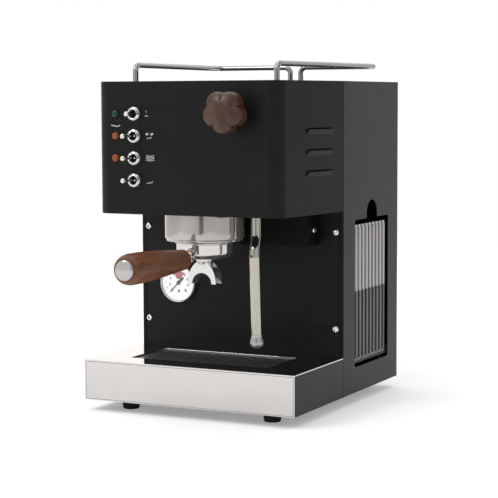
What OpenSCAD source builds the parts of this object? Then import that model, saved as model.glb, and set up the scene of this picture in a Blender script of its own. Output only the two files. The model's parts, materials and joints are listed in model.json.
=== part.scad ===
// Espresso machine with one group, a steam wand, toggle switches and a water tank in its side.
// Millimetres, +Z up, the front of the machine towards -Y.
// Inside every module y = 0 is the front face of the back panel and z = 0 is the table.

/* [Casing] */
// Width of the casing and of the base
case_w = 250; // [230:1:300]
// Depth of the rear casing behind the back panel
case_d = 158.5; // [150:0.5:200]
// Height of the casing above its feet
case_h = 342.5; // [325:0.5:420]
// Thickness of the sheet metal
sheet = 1.5; // [1:0.1:1.8]
// Width of the casing's folded front flanges
flange_w = 4; // [3:0.5:6]
// Gap left between neighbouring sheets
seam = 0.3; // [0.2:0.05:0.4]

/* [Head] */
// How far the head stands out in front of the back panel
head_d = 124.5; // [118:0.5:150]
// Width of the head's front face, before its corners are rounded
head_front_w = 213; // [196:1:230]
// Height of the head
head_h = 140; // [125:1:170]
// Radius of the head's two front corners
head_corner_r = 16; // [8:1:24]
// How far the head's floor is set up from its lower edge
floor_inset = 2; // [1:0.5:5]
// Height of the middle of the louvres above the head's lower edge
louvre_mid = 65.5; // [60:0.5:72]
// Distance from the casing to the louvres
louvre_start = 22; // [14:0.5:26]
// Length of one louvre
louvre_l = 49.5; // [30:0.5:56]
// Height of one louvre
louvre_h = 7; // [5:0.5:9]
// How far a louvre stands out
louvre_out = 2; // [1.8:0.1:3]
// Distance from one louvre to the next
louvre_pitch = 22; // [16:1:30]
// Number of louvres on each side
louvre_n = 3; // [1:1:4]

/* [Base and drip tray] */
// How far the base stands out in front of the back panel
base_d = 126.5; // [124:0.5:150]
// Height of the base
base_h = 43.5; // [38:0.5:60]
// Height of the feet
foot_h = 12; // [8:0.5:20]
// Diameter of the feet
foot_dia = 20; // [14:1:26]
// Length of the opening for the grid
grid_l = 165; // [140:1:176]
// Width of the opening for the grid
grid_w = 74; // [60:1:84]
// Distance from the back panel to the grid's opening
grid_back = 20; // [16:1:30]
// Depth of the folded lip around the grid's opening
grid_lip = 6; // [4:0.5:8]
// Thickness of the grid
grid_t = 1.5; // [1:0.1:2]
// Length of one slot in the grid
slot_l = 11; // [8:1:14]
// Width of one slot in the grid
slot_w = 3.4; // [2:0.2:3.8]
// Wall of the drip basin
basin_t = 2; // [1.5:0.1:3]

/* [Water tank] */
// Width of the tank, front to back
tank_w = 92; // [80:1:100]
// Height of the tank
tank_h = 151; // [120:1:160]
// Length of the tank into the casing, without its spigot
tank_l = 150; // [120:1:160]
// Wall of the tank
tank_t = 2; // [1.5:0.1:3]
// Room between the tank and its window at each side
tank_gap = 2.5; // [1.5:0.5:4]
// Radius of the finger notch above the tank's window
notch_r = 15; // [10:1:18]
// Radius of the tank's upright ribs
rib_r = 2.4; // [1.5:0.1:3]
// Distance from one rib to the next
rib_pitch = 10; // [7:0.5:12]
// Radius of the tank's outlet spigot
spigot_r = 6; // [4:0.5:8]

/* [Group and portafilter] */
// Sideways place of the group's axis
group_x = -4; // [-10:1:6]
// Distance from the back panel to the group's axis
group_y = 76; // [72:1:78]
// Outer radius of the group's bell
bell_r = 42.3; // [42:0.1:46]
// Wall of the group's bell
bell_t = 1.5; // [1:0.1:1.7]
// How far the bell hangs below the head
bell_drop = 29; // [27:0.5:34]
// Outer radius of the portafilter's bowl
bowl_r = 30.4; // [30:0.1:31]
// Angle that the portafilter turns through to unlock
lock_angle = 50; // [40:1:55]
// Distance from the group's axis to the far end of the handle
handle_reach = 170; // [150:1:200]
// Largest radius of the wooden handle
handle_r = 15.9; // [13:0.1:18]
// Radius of the handle's chrome end cap
cap_r = 10.3; // [8:0.1:11]
// Distance between the middles of the two spouts
spout_gap = 28.5; // [24:0.5:32]

/* [Steam wand and valve] */
// Sideways place of the steam valve and the wand
steam_x = 57.5; // [56:0.5:64]
// Height of the knob's middle below the top of the head
knob_drop = 32; // [30:1:50]
// Largest radius of the five-lobed knob
knob_r = 22.2; // [18:0.1:26]
// Depth of the knob's notches, as a share of its radius
knob_notch = 0.18; // [0.08:0.01:0.2]
// Thickness of the knob
knob_t = 20; // [14:1:24]
// Gap between the head's front and the back of the knob
knob_standoff = 14; // [8:0.5:16]
// Radius of the valve stem
stem_r = 4.2; // [3:0.1:5]
// Outer radius of the wand's tube
wand_r = 5.6; // [4:0.1:6]
// Radius of the wand's two bends, at the middle of the tube
bend_r = 20; // [16:1:26]
// Angle of the wand's first bend
bend_a = 35; // [25:1:40]
// How far the wand's lower length leans back towards its axis
lean_a = 7; // [0:1:8]
// Height of the wand's lowest point above the table
wand_low = 71; // [62:1:90]

/* [Controls] */
// Sideways place of the toggle switches
toggle_x = -60.5; // [-70:0.5:-40]
// Sideways place of the lamps
lamp_x = -84; // [-88:0.5:-78]
// Height of the top toggle below the top of the head
toggle_drop = 34; // [26:1:50]
// Distance from one toggle to the next
toggle_pitch = 23.3; // [20:0.1:26]
// Angle of a thrown toggle from straight ahead
toggle_throw = 20; // [12:1:22]
// Length of a toggle from its pivot to the middle of its ball
toggle_l = 16; // [13:0.5:20]
// Radius of a lamp's lens
lamp_r = 4; // [3:0.1:5]
// Outer radius of the pressure gauge
gauge_r = 22; // [18:0.5:26]
// Sideways place of the gauge
gauge_x = -77; // [-84:1:-60]
// Height of the gauge's middle above the table
gauge_z = 128.5; // [100:0.5:140]

/* [Cup rails] */
// Diameter of the rail's rod
rail_d = 6; // [4:0.5:8]
// Height of the rod's middle above the top of the casing
rail_h = 18; // [14:1:40]
// Sideways place of the front posts
rail_front_x = 84.5; // [70:0.5:88]
// Sideways place of the rails' rear corners
rail_rear_x = 101.5; // [90:0.5:106]
// Sideways place of the rear posts
rail_mid_x = 6.7; // [5:0.1:20]
// Bend radius of the rod, at its middle
rail_bend = 7; // [5:0.5:10]

/* [Hidden] */
$fn = 64;
eps = 0.01;
// A rod's bends are this much thicker than its straight runs, so that the two merge cleanly
swell = 0.03;
half_w = case_w / 2;
inner_w = half_w - sheet;
z_base = foot_h;
z_tray = foot_h + base_h;
z_top = foot_h + case_h;
z_head = z_top - head_h;
z_floor = z_head + floor_inset;
// Room left between a screw or a pipe and its hole
hole_gap = 0.2;
// Clearance of a shaft that turns in a bore
run_gap = 0.06;
// Heights through the group, downwards from the head's floor
group_top = z_floor + sheet + 6;
bell_low = z_head - bell_drop;
lug_low = bell_low + 1;
lug_high = lug_low + 4;
ear_low = lug_high + 0.3;
ear_high = ear_low + 4;
groove_high = lug_high + 5.6;
rim_high = ear_high - 0.6;
seat_high = groove_high + 8;
bowl_low = bell_low - 16;
bowl_floor = bowl_low + 3;
// Radii in the group
group_r = bell_r - bell_t - 0.5;
groove_r = group_r - 2.3;
ear_r = groove_r - 0.5;
rim_r = ear_r - 2.5;
lug_r = rim_r + 0.4;
basket_r = bowl_r - 2.1;
basket_t = 0.6;
gasket_in = basket_r + 0.9;
gasket_out = rim_r + 0.8;
ear_angle = 40;
gap_angle = 46;
// The handle, its neck and the ferrule between them
handle_z = bowl_low - 1;
neck_r = 5.5;
neck_y = -bowl_r - 8;
ferrule_y = neck_y - neck_r - 0.6;
ferrule_l = 4;
handle_start = ferrule_l - ferrule_y;
stud_r = 3;
stud_l = 58;
// The knob and its shaft
knob_z = z_top - knob_drop;
knob_back = -head_d - knob_standoff;
// The toggles
pivot_y = -head_d - 1;
pin_r = 2;
pin_h = 3;
bush_r = 5.6;
bush_l = 4.5;
// The wand
wand_y = -group_y;
wand_turn = 15;
joint_top = z_floor + sheet + 12;
bend_top = z_head - 18;
bend_straight = 4;
tip_l = 17;
tip_r = wand_r + 1.8;
// The tank
tank_out = inner_w + 0.5;
tank_y = case_d / 2 + 1;
tank_z = z_base + 34.3;
shelf_t = 2;
window_w = tank_w + 2 * tank_gap;
window_h = tank_h + 12;
window_z = tank_z - 6;
// The screws
screw_r = 1.9;
screw_head_r = 3.6;
screw_head_h = 2.2;
panel_w = case_w - 2 * flange_w - 2 * seam;
panel_screw_x = panel_w / 2 - 4.5;
panel_screw_z = [z_tray + 31, z_head - 22.5];
upright_x = panel_w / 2;
// The valve housing under the head
vbox_x = [14, 96];
vbox_d = 30;
vbox_z = z_head - 36.5;
// The grid
grid_x = group_x;
grid_gap = 0.8;
grid_top = z_tray - sheet;
grid_low = grid_top - grid_t;
// The origin stands in the middle of the machine's length
front_reach = group_y + handle_reach;
rear_reach = case_d + screw_head_h;
panel_y = (front_reach - rear_reach) / 2;

// ---------------------------------------------------------------- helpers

function unit(v) = v / norm(v);

// Points of an arc about c, from angle a to angle b
function arc(c, r, a, b, n = 8) = [
    for (i = [0:n]) c + r * [cos(a + (b - a) * i / n), sin(a + (b - a) * i / n)]
];

// A box between two opposite corners
module block(lo, hi) {
    translate(lo) cube(hi - lo);
}

// The rounding of corner p between its neighbours before and after, as points on an arc
function round_corner(p, before, after, r) =
    let (
        u = unit(before - p),
        v = unit(after - p),
        half = acos(u * v) / 2,
        c = p + unit(u + v) * r / sin(half),
        first = p + u * r / tan(half) - c,
        start = atan2(first[1], first[0]),
        way = cross(p - before, after - p) > 0 ? 1 : -1
    )
    r == 0 ? [p] : arc(c, r, start, start + way * (180 - 2 * half), 10);

// A flat outline whose convex corners are rounded by the radii in rs
module rounded_outline(pts, rs) {
    n = len(pts);
    polygon([for (i = [0:n - 1]) each round_corner(pts[i], pts[(i + n - 1) % n], pts[(i + 1) % n], rs[i])]);
}

// A rounded rectangle between two corners
module rounded_rect(lo, hi, r) {
    rounded_outline([lo, [hi[0], lo[1]], hi, [lo[0], hi[1]]], [r, r, r, r]);
}

// A slot with round ends, along x
module stadium(l, w) {
    square([l - w, w], center = true);
    for (s = [-1, 1]) translate([s * (l - w) / 2, 0]) circle(d = w, $fn = 24);
}

// A cylinder standing on z
module post(r, z0, z1) {
    translate([0, 0, z0]) cylinder(r = r, h = z1 - z0);
}

// A cylinder along y, from y0 to y1
module rod_y(r, y0, y1) {
    translate([0, y0, 0]) rotate([-90, 0, 0]) cylinder(r = r, h = y1 - y0);
}

// A cylinder along x, from x0 to x1
module rod_x(r, x0, x1) {
    translate([x0, 0, 0]) rotate([0, 90, 0]) cylinder(r = r, h = x1 - x0);
}

// A straight rod between two points
module rod_between(a, b, r) {
    d = b - a;
    translate(a) rotate([0, acos(d[2] / norm(d)), atan2(d[1], d[0])]) cylinder(r = r, h = norm(d));
}

// A rod that runs through points, with a ball at each turn
module bent_rod(pts, r) {
    for (i = [0:len(pts) - 2]) rod_between(pts[i], pts[i + 1], r);
    for (i = [1:1:len(pts) - 2]) translate(pts[i]) sphere(r = r + swell);
}

// A round bend of a rod of radius r: the rod comes along direction a, turns towards direction b on a
// circle of radius bend, and its straight runs would meet at p
module rod_elbow(p, a, b, r, bend) {
    turn = acos(a * b);
    side = unit(b - a * (a * b));
    n = cross(a, side);
    c = p - a * bend * tan(turn / 2) + side * bend;
    multmatrix([
        [-side[0], a[0], n[0], c[0]], [-side[1], a[1], n[1], c[1]], [-side[2], a[2], n[2], c[2]], [0, 0, 0, 1]
    ]) rotate_extrude(angle = turn) translate([bend, 0]) circle(r = r + swell);
}

// A rod along points with round bends. Its straight runs reach a little way into each bend.
module curved_rod(pts, r, bend) {
    n = len(pts);
    dirs = [for (i = [0:n - 2]) unit(pts[i + 1] - pts[i])];
    cut = [
        for (i = [0:n - 1]) (i == 0 || i == n - 1) ? 0 : bend * tan(acos(dirs[i - 1] * dirs[i]) / 2) - 0.2
    ];
    for (i = [0:n - 2]) rod_between(pts[i] + dirs[i] * cut[i], pts[i + 1] - dirs[i] * cut[i + 1], r);
    for (i = [1:1:n - 2]) rod_elbow(pts[i], dirs[i - 1], dirs[i], r, bend);
}

// Half width of the head's outer plan at depth y, set in by inset
taper = atan((case_w - head_front_w) / 2 / head_d);
function head_x(y, inset) = half_w + (case_w - head_front_w) / 2 * y / head_d - inset / cos(taper);

// Plan of the head, set in by inset, with its rear edge at y = back
module head_plan(inset, back) {
    front = -head_d + inset;
    r = max(head_corner_r - inset, 1);
    rounded_outline([
        [-head_x(back, inset), back], [-head_x(front, inset), front],
        [head_x(front, inset), front], [head_x(back, inset), back]
    ], [0, r, r, 0]);
}

// Puts its children at the group's axis
module at_group() {
    translate([group_x, -group_y, 0]) children();
}

// Puts its children at the wand's axis
module at_wand() {
    translate([steam_x, wand_y, 0]) children();
}

// Puts its children at each toggle's place on the head's front, top one first
module at_toggles(which = [0:3]) {
    for (i = which) translate([toggle_x, 0, z_top - toggle_drop - i * toggle_pitch]) children();
}

// Puts its children at each lamp's place
module at_lamps(which = [0:2]) {
    for (i = which) translate([lamp_x, 0, z_top - toggle_drop - i * toggle_pitch]) children();
}

// Puts its children at each foot's place
module at_feet() {
    for (x = [-1, 1] * (half_w - 39.5), y = [31 - base_d, case_d - 28.5]) translate([x, y, 0]) children();
}

// Puts its children at the four screws of the back panel
module at_panel_screws() {
    for (s = [-1, 1], z = panel_screw_z) translate([s * panel_screw_x, 0, z]) children();
}

// A pan-head screw whose head stands out towards -Y and whose shank runs to +Y
module pan_screw(l) {
    difference() {
        union() {
            rotate([90, 0, 0]) rotate_extrude() polygon(concat(
                [[0, 0], [screw_head_r, 0], [screw_head_r, 0.7]],
                [for (a = [20:10:80]) [screw_head_r * cos(a), 0.7 + (screw_head_h - 0.7) * sin(a)]],
                [[0, screw_head_h]]));
            rod_y(screw_r, -eps, l);
        }
        for (a = [0, 90]) rotate([0, a, 0])
            block([-2, -screw_head_h - 1, -0.45], [2, -screw_head_h + 1.1, 0.45]);
    }
}

// ---------------------------------------------------------------- casing

module base_pan() {
    front = -base_d + sheet + seam;
    wall_h = base_h - sheet - seam;
    color([0.12, 0.12, 0.125]) difference() {
        union() {
            block([-half_w, front, z_base], [half_w, -seam, z_base + sheet]);
            block([-inner_w + seam, -seam - 1, z_base],
                [inner_w - seam, case_d - sheet - seam, z_base + sheet]);
            for (s = [-1, 1])
                translate([s * (half_w - sheet / 2), (front - seam) / 2, z_base + wall_h / 2])
                    cube([sheet, -seam - front, wall_h], center = true);
        }
        at_feet() post(screw_r + hole_gap, z_base - 1, z_base + sheet + 1);
    }
}

// Four rubber feet, each with its moulded stud through the base pan
module feet() {
    color([0.05, 0.05, 0.05]) at_feet() {
        rotate_extrude() polygon([
            [0, 0], [foot_dia / 2 - 2, 0], [foot_dia / 2 - 1, 1], [foot_dia / 2, foot_h], [0, foot_h]
        ]);
        post(screw_r, foot_h - eps, foot_h + sheet - 0.1);
    }
}

// Outline of the window and its finger notch, drawn with x along the casing's depth and y up
module window_outline() {
    rounded_rect([tank_y - window_w / 2, window_z], [tank_y + window_w / 2, window_z + window_h], 3);
    translate([tank_y - notch_r, window_z + window_h - 1]) square([2 * notch_r, 6]);
    translate([tank_y, window_z + window_h + 5]) circle(r = notch_r);
}

module casing_wrap() {
    vent_n = 7;
    color([0.12, 0.12, 0.125]) difference() {
        union() {
            for (s = [-1, 1]) {
                x = s * (half_w - sheet / 2);
                translate([x, case_d / 2, z_base + case_h / 2]) cube([sheet, case_d, case_h], center = true);
                translate([s * (half_w - flange_w / 2), sheet / 2, (z_base + z_head) / 2])
                    cube([flange_w, sheet, z_head - z_base], center = true);
            }
            block([-half_w, case_d - sheet, z_base], [half_w, case_d, z_top]);
        }
        // The tank's window goes through the right wall only
        translate([half_w - sheet - 1, 0, 0]) rotate([90, 0, 90]) linear_extrude(sheet + 2) window_outline();
        // Vent slots in the rear wall
        for (i = [0:vent_n - 1], s = [-1, 1])
            translate([s * 45, case_d + 1, z_top - 60 - i * 12])
                rotate([90, 0, 0]) linear_extrude(sheet + 2) stadium(60, 4);
        // The inlet's opening
        translate([inlet_x, case_d + 1, inlet_z]) rotate([90, 0, 0]) linear_extrude(sheet + 2)
            square([inlet_w + 0.6, inlet_h + 0.6], center = true);
        at_casing_screws() rod_y(screw_r + hole_gap, -sheet - 1, 1);
    }
}

// Places of the six screws in the rear wall
module at_casing_screws() {
    for (s = [-1, 1], z = [z_base + 20, z_base + case_h / 2, z_top - 20])
        translate([s * (inner_w - 9), case_d, z]) children();
}

module casing_screws() {
    color("silver") at_casing_screws() rotate([0, 0, 180]) pan_screw(sheet + 5);
}

// Two angle sections that the back panel screws to
module frame_uprights() {
    back = sheet + seam;
    color([0.35, 0.35, 0.36]) for (s = [-1, 1]) difference() {
        mirror([s < 0 ? 1 : 0, 0, 0]) {
            block([upright_x - 15, back, z_base + sheet + seam],
                [upright_x, back + sheet, z_top - sheet - seam]);
            block([upright_x - sheet, back, z_base + sheet + seam],
                [upright_x, back + 20, z_top - sheet - seam]);
        }
        at_panel_screws() rod_y(screw_r + 0.1, 0, 10);
    }
}

module back_panel() {
    color([0.09, 0.09, 0.095]) difference() {
        block([-panel_w / 2, 0, z_base + sheet + seam], [panel_w / 2, sheet, z_floor - seam]);
        translate([gauge_x, 0, gauge_z]) rod_y(gauge_r - 2 + hole_gap, -1, sheet + 1);
        at_panel_screws() rod_y(screw_r + hole_gap, -1, sheet + 1);
    }
}

// Four screws in the back panel and one in the side of the valve housing
module panel_screws() {
    color("silver") {
        at_panel_screws() pan_screw(sheet + 5);
        translate([vbox_x[1], -vbox_d / 2, z_head - 19.5]) rotate([0, 0, 90]) pan_screw(sheet + 3);
    }
}

// The folded box on the back panel, behind the wand
module valve_housing() {
    high = z_floor - seam;
    color([0.08, 0.08, 0.085]) difference() {
        block([vbox_x[0], -vbox_d, vbox_z], [vbox_x[1], -seam, high]);
        block([vbox_x[0] + sheet, -vbox_d + sheet, vbox_z + sheet], [vbox_x[1] - sheet, 1, high + 1]);
        translate([0, -vbox_d / 2, z_head - 19.5])
            rod_x(screw_r + hole_gap, vbox_x[1] - sheet - 1, vbox_x[1] + 1);
    }
}

// ---------------------------------------------------------------- head

// Puts its children on the outside of the head's right side, x along the side and y outwards
module at_head_side() {
    translate([half_w, 0, 0]) rotate([0, 0, -90 - taper]) children();
}

louvre_wall = 1;
function louvre_z(i) = z_head + louvre_mid - (i + 0.5 - louvre_n / 2) * louvre_pitch;

// Puts its children at each louvre of the head's right side, extruded along it from a to b.
// The children are drawn with x outwards and y up from the louvre's lower edge.
module at_louvres(a, b) {
    at_head_side() for (i = [0:louvre_n - 1])
        translate([louvre_start + a, 0, louvre_z(i) - louvre_h / 2])
            rotate([90, 0, 90]) linear_extrude(b - a) children();
}

// Hoods pressed outwards
module louvre_hoods() {
    at_louvres(0, louvre_l) polygon([
        [-1, -2], [louvre_out, louvre_h - 2.6], [louvre_out, louvre_h - 1.4], [-1, louvre_h - 1.4]
    ]);
}

// The hollow of each hood, which is open at its top
module louvre_hollows() {
    at_louvres(louvre_wall, louvre_l - louvre_wall) polygon([
        [-3, 1], [-1, 1], [louvre_out - louvre_wall, louvre_h - 2.5],
        [louvre_out - louvre_wall, louvre_h - 0.3], [-3, louvre_h - 0.3]
    ]);
}

module head_shell() {
    back = -0.2;
    color([0.1, 0.1, 0.105]) difference() {
        union() {
            difference() {
                translate([0, 0, z_head]) linear_extrude(head_h) head_plan(0, back);
                translate([0, 0, z_head - 1]) linear_extrude(head_h + 2) head_plan(sheet, 2);
            }
            for (m = [0, 1]) mirror([m, 0, 0]) louvre_hoods();
            // Tabs that lap inside the casing
            for (s = [-1, 1], z = [z_head + 20, z_top - 35])
                translate([s * (inner_w - seam - sheet / 2), 1, z + 7.5])
                    cube([sheet, 18, 15], center = true);
        }
        for (m = [0, 1]) mirror([m, 0, 0]) louvre_hollows();
        at_toggles() rod_y(6.2, -head_d - 1, -head_d + 3);
        at_lamps() rod_y(lamp_r - 0.3 + hole_gap, -head_d - 1, -head_d + 3);
        translate([steam_x, 0, knob_z]) rod_y(stem_r + 1.5, -head_d - 1, -head_d + 3);
    }
}

module head_floor() {
    color([0.09, 0.09, 0.095]) difference() {
        translate([0, 0, z_floor]) linear_extrude(sheet) head_plan(sheet + seam, -seam);
        at_group() post(31.5, z_floor - 1, z_floor + sheet + 1);
        at_wand() post(9 + hole_gap, z_floor - 1, z_floor + sheet + 1);
    }
}

// The cup shelf, with warming slots
module top_plate() {
    in = sheet + seam;
    front = -head_d + in;
    r = head_corner_r - in;
    color([0.1, 0.1, 0.105]) translate([0, 0, z_top - sheet]) difference() {
        linear_extrude(sheet) difference() {
            rounded_outline([
                [-inner_w + seam, case_d - in], [-head_x(-seam, in), -seam], [-head_x(front, in), front],
                [head_x(front, in), front], [head_x(-seam, in), -seam], [inner_w - seam, case_d - in]
            ], [0, 0, r, r, 0, 0]);
            for (x = [-48:16:48], y = [-60, 15, 90]) translate([x, y]) rotate(90) stadium(56, 5);
        }
        at_rail_posts() post(rail_d / 2 + hole_gap / 2, -1, sheet + 1);
    }
}

rail_rear_y = case_d - 11.5;
rail_front_y = -head_d + 43.5;

module at_rail_posts() {
    for (s = [-1, 1]) {
        translate([s * rail_front_x, rail_front_y, 0]) children();
        translate([s * rail_mid_x, rail_rear_y, 0]) children();
    }
}

// A rail from its front post, back along one side, and in to its rear post
module cup_rail(s) {
    high = z_top + rail_h;
    low = z_top - sheet - 6;
    color([0.8, 0.8, 0.82]) curved_rod([
        [s * rail_front_x, rail_front_y, low], [s * rail_front_x, rail_front_y, high],
        [s * rail_rear_x, rail_rear_y, high],
        [s * rail_mid_x, rail_rear_y, high], [s * rail_mid_x, rail_rear_y, low]
    ], rail_d / 2, rail_bend);
}

module rail_left() {
    cup_rail(-1);
}

module rail_right() {
    cup_rail(1);
}

// ---------------------------------------------------------------- group

module group_bell() {
    high = z_floor - seam;
    edge = bell_t - 0.2;
    color([0.85, 0.85, 0.87]) at_group() rotate_extrude($fn = 128) polygon(concat(
        [[bell_r, high]], arc([bell_r - edge, bell_low + edge], edge, 0, -90, 6),
        [[bell_r - bell_t, bell_low], [bell_r - bell_t, high]]));
}

// The casting that holds the portafilter: two lugs, a groove for its ears and a seat for the gasket
module group_head() {
    color([0.72, 0.6, 0.36]) at_group() difference() {
        union() {
            post(group_r, lug_low, seat_high + 3);
            post(31, seat_high, group_top);
        }
        post(lug_r, lug_low - 1, lug_high + 1);
        post(groove_r, lug_high, groove_high);
        post(gasket_out + 0.2, groove_high - 1, seat_high);
        post(3, seat_high - 1, group_top + 1);
        // Two entry gaps in the lugs, where the ears go in
        for (a = [180 - lock_angle, -lock_angle]) rotate([0, 0, a - gap_angle / 2])
            translate([0, 0, lug_low - 1]) rotate_extrude(angle = gap_angle)
                translate([lug_r - 1, 0]) square([groove_r - lug_r + 1, lug_high - lug_low + 1.5]);
    }
}

module group_gasket() {
    color([0.06, 0.06, 0.06]) at_group() difference() {
        post(gasket_out, rim_high + 1.3, seat_high - 0.2);
        post(gasket_in, rim_high, seat_high);
    }
}

module dispersion_block() {
    color([0.72, 0.6, 0.36]) at_group() difference() {
        post(gasket_in - 0.4, rim_high + 4, seat_high - 0.1);
        post(screw_r + hole_gap, rim_high, seat_high);
        for (a = [0:60:300]) rotate([0, 0, a]) translate([12, 0, 0]) post(1.5, rim_high, seat_high);
    }
}

module shower_screen() {
    color([0.8, 0.8, 0.82]) at_group() difference() {
        post(basket_r - 0.4, rim_high + 1.5, rim_high + 3.8);
        post(basket_r - 1.4, rim_high + 2.5, rim_high + 5);
        post(screw_r + hole_gap, rim_high, rim_high + 5);
        for (ring = [1:3], a = [0:360 / (ring * 6):359]) rotate([0, 0, a]) translate([ring * 7, 0, 0])
            cylinder(r = 0.9, h = rim_high * 2, $fn = 16);
    }
}

module shower_screw() {
    color("silver") at_group() difference() {
        union() {
            rotate_extrude() polygon([
                [0, rim_high], [3.6, rim_high + 0.3], [3.6, rim_high + 1.4], [0, rim_high + 1.4]
            ]);
            post(screw_r, rim_high + 1, seat_high - 0.3);
        }
        block([-3, -0.5, rim_high - 1], [3, 0.5, rim_high + 0.8]);
    }
}

boiler_r = 36;
boiler_h = 74;
element_r = 3.2;

module boiler() {
    low = group_top + 0.1;
    color([0.75, 0.62, 0.4]) at_group() difference() {
        union() {
            post(boiler_r, low, low + boiler_h);
            post(boiler_r + 5, low + boiler_h * 0.45, low + boiler_h * 0.45 + 8);
        }
        post(boiler_r - 3, low + 3, low + boiler_h - 3);
        for (x = [-14, 14], y = [-9, 9]) translate([x, y, 0])
            post(element_r + 0.2, low + boiler_h - 4, low + boiler_h + 1);
    }
}

// Two looped elements whose ends stand out of the boiler's lid as terminals
module heating_elements() {
    high = group_top + 0.1 + boiler_h + 10;
    low = high - 76;
    color([0.7, 0.7, 0.72]) at_group() for (x = [-14, 14])
        curved_rod([[x, -9, high], [x, -9, low], [x, 9, low], [x, 9, high]], element_r, 8.5);
}

module solenoid_valve() {
    color([0.2, 0.2, 0.22]) translate([group_x - 62, -52, z_floor + sheet + 1]) {
        block([-14, -14, 0], [14, 14, 30]);
        post(6, 30, 48);
        post(3, 48, 53);
    }
}

// ---------------------------------------------------------------- portafilter

module portafilter_body() {
    skirt = 3.5;
    color([0.85, 0.85, 0.87]) at_group() {
        difference() {
            union() {
                rotate_extrude($fn = 128) polygon(concat(
                    [[0, bowl_low], [bowl_r - 7, bowl_low]],
                    arc([bowl_r - 7, bowl_low + 7], 7, -90, 0, 8),
                    [[bowl_r, bell_low - 1], [rim_r - 0.6, bell_low + skirt], [rim_r, bell_low + skirt],
                        [rim_r, rim_high], [0, rim_high]]));
                // The two ears
                for (a = [0, 180]) rotate([0, 0, a - ear_angle / 2]) translate([0, 0, ear_low])
                    rotate_extrude(angle = ear_angle) translate([rim_r - 1, 0])
                        square([ear_r - rim_r + 1, ear_high - ear_low - 0.8]);
                post(9.3, bowl_low - 4, bowl_low + 1);
                rod_between([0, -bowl_r + 4, bowl_low + 7], [0, neck_y, handle_z], neck_r);
                translate([0, neck_y, handle_z]) rotate([90, 0, 0]) sphere(r = neck_r + 0.25);
                translate([0, 0, handle_z]) rod_y(neck_r, ferrule_y, neck_y);
            }
            rotate_extrude($fn = 96) polygon([
                [0, bowl_floor], [basket_r - 1.5, bowl_floor], [basket_r + 0.4, bowl_floor + 5],
                [basket_r + 0.4, rim_high + 1], [0, rim_high + 1]
            ]);
            post(4.5, bowl_low - 5, bowl_floor + 1);
            translate([0, 0, handle_z]) rod_y(stud_r + 0.1, ferrule_y - 1, neck_y + 0.5);
        }
    }
}

module filter_basket() {
    low = bowl_floor + 1;
    color([0.82, 0.82, 0.84]) at_group() difference() {
        rotate_extrude($fn = 96) polygon([
            [0, low], [basket_r - 2.5, low], [basket_r, low + 6], [basket_r, rim_high],
            [rim_r - 0.3, rim_high], [rim_r - 0.3, rim_high + 1], [basket_r - basket_t, rim_high + 1],
            [basket_r - basket_t, low + 6],
            [basket_r - 2.5 - basket_t, low + basket_t], [0, low + basket_t]
        ]);
        for (ring = [0:4], a = [0:360 / max(1, ring * 6):359])
            rotate([0, 0, a]) translate([ring * 5, 0, low - 1]) cylinder(r = 0.8, h = 3, $fn = 16);
    }
}

spout_w = 14.5;
spout_wall = 1.4;
spout_in = spout_gap / 2 - 2.6;
spout_out = spout_gap / 2 + 2.6;
spout_z = bowl_low - 30.5;
spout_top = bowl_low - 6;
spout_rise = spout_top - spout_z;

// Side view of the two arms, from radius r on their inside to their tall outer arch, w wide
module spout_arms(r, grow, w) {
    outer = [for (a = [-grow:6:180 + grow]) [(spout_out + grow) * cos(a), (spout_rise + grow) * sin(a)]];
    inner = [for (a = [180 + grow:-6:-grow]) r * [cos(a), sin(a)]];
    rotate([90, 0, 0]) linear_extrude(w, center = true) polygon(concat(outer, inner));
}

// Two arms that part below a collar: open gutters that pour at both ends
module double_spout() {
    gutter_floor = spout_z + spout_in + spout_wall;
    color([0.85, 0.85, 0.87]) at_group() difference() {
        union() {
            difference() {
                translate([0, 0, spout_z]) spout_arms(spout_in, 0, spout_w);
                translate([0, 0, spout_z]) spout_arms(spout_in + spout_wall, 12, spout_w - 2 * spout_wall);
            }
            post(8.8, gutter_floor + 4, spout_top);
            post(7.2, spout_top - 1, bowl_low - 4.3);
        }
        post(4, gutter_floor + 1, bowl_low);
    }
}

module handle_ferrule() {
    color([0.8, 0.8, 0.82]) at_group() translate([0, 0, handle_z]) rotate([90, 0, 0]) difference() {
        rotate_extrude($fn = 96) polygon([
            [0, -ferrule_y], [6.5, -ferrule_y], [8.6, 2 - ferrule_y], [9.2, handle_start - 1],
            [8.8, handle_start], [0, handle_start]
        ]);
        cylinder(r = stud_r + 0.1, h = 2 * handle_reach);
    }
}

// Turned walnut handle, with a bore for its stud
module portafilter_handle() {
    end = handle_reach - 2;
    color([0.33, 0.19, 0.13]) at_group() translate([0, 0, handle_z]) rotate([90, 0, 0]) difference() {
        rotate_extrude($fn = 96) polygon(concat(
            [[0, handle_start + 0.1], [9.4, handle_start + 0.1], [10.4, handle_start + 1.1]],
            [for (t = [0.1:0.1:1])
                [10.4 + (handle_r - 10.4) * sin(90 * t), handle_start + 1.1 + (end - 12 - handle_start) * t]],
            [for (a = [15:15:90])
                [cap_r + 0.6 + (handle_r - cap_r - 0.6) * cos(a), end - 11 + 10.8 * sin(a)]],
            [[cap_r + 0.2, end - 1.5], [0, end - 1.5]]));
        cylinder(r = stud_r + 0.1, h = handle_start + stud_l + 1);
    }
}

// Threaded stud that runs from the bowl's neck, through the ferrule, into the handle
module handle_stud() {
    color("silver") at_group() translate([0, 0, handle_z]) rod_y(stud_r, -handle_start - stud_l, neck_y);
}

module handle_cap() {
    end = handle_reach - 2;
    color([0.85, 0.85, 0.87]) at_group() translate([0, 0, handle_z]) rotate([90, 0, 0])
        rotate_extrude($fn = 96) polygon(concat([[0, end - 1.4], [cap_r, end - 1.4]],
            [for (a = [0:15:75]) [cap_r * cos(a), end + 2 * sin(a)]], [[0, end + 2]]));
}

// ---------------------------------------------------------------- steam

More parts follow.
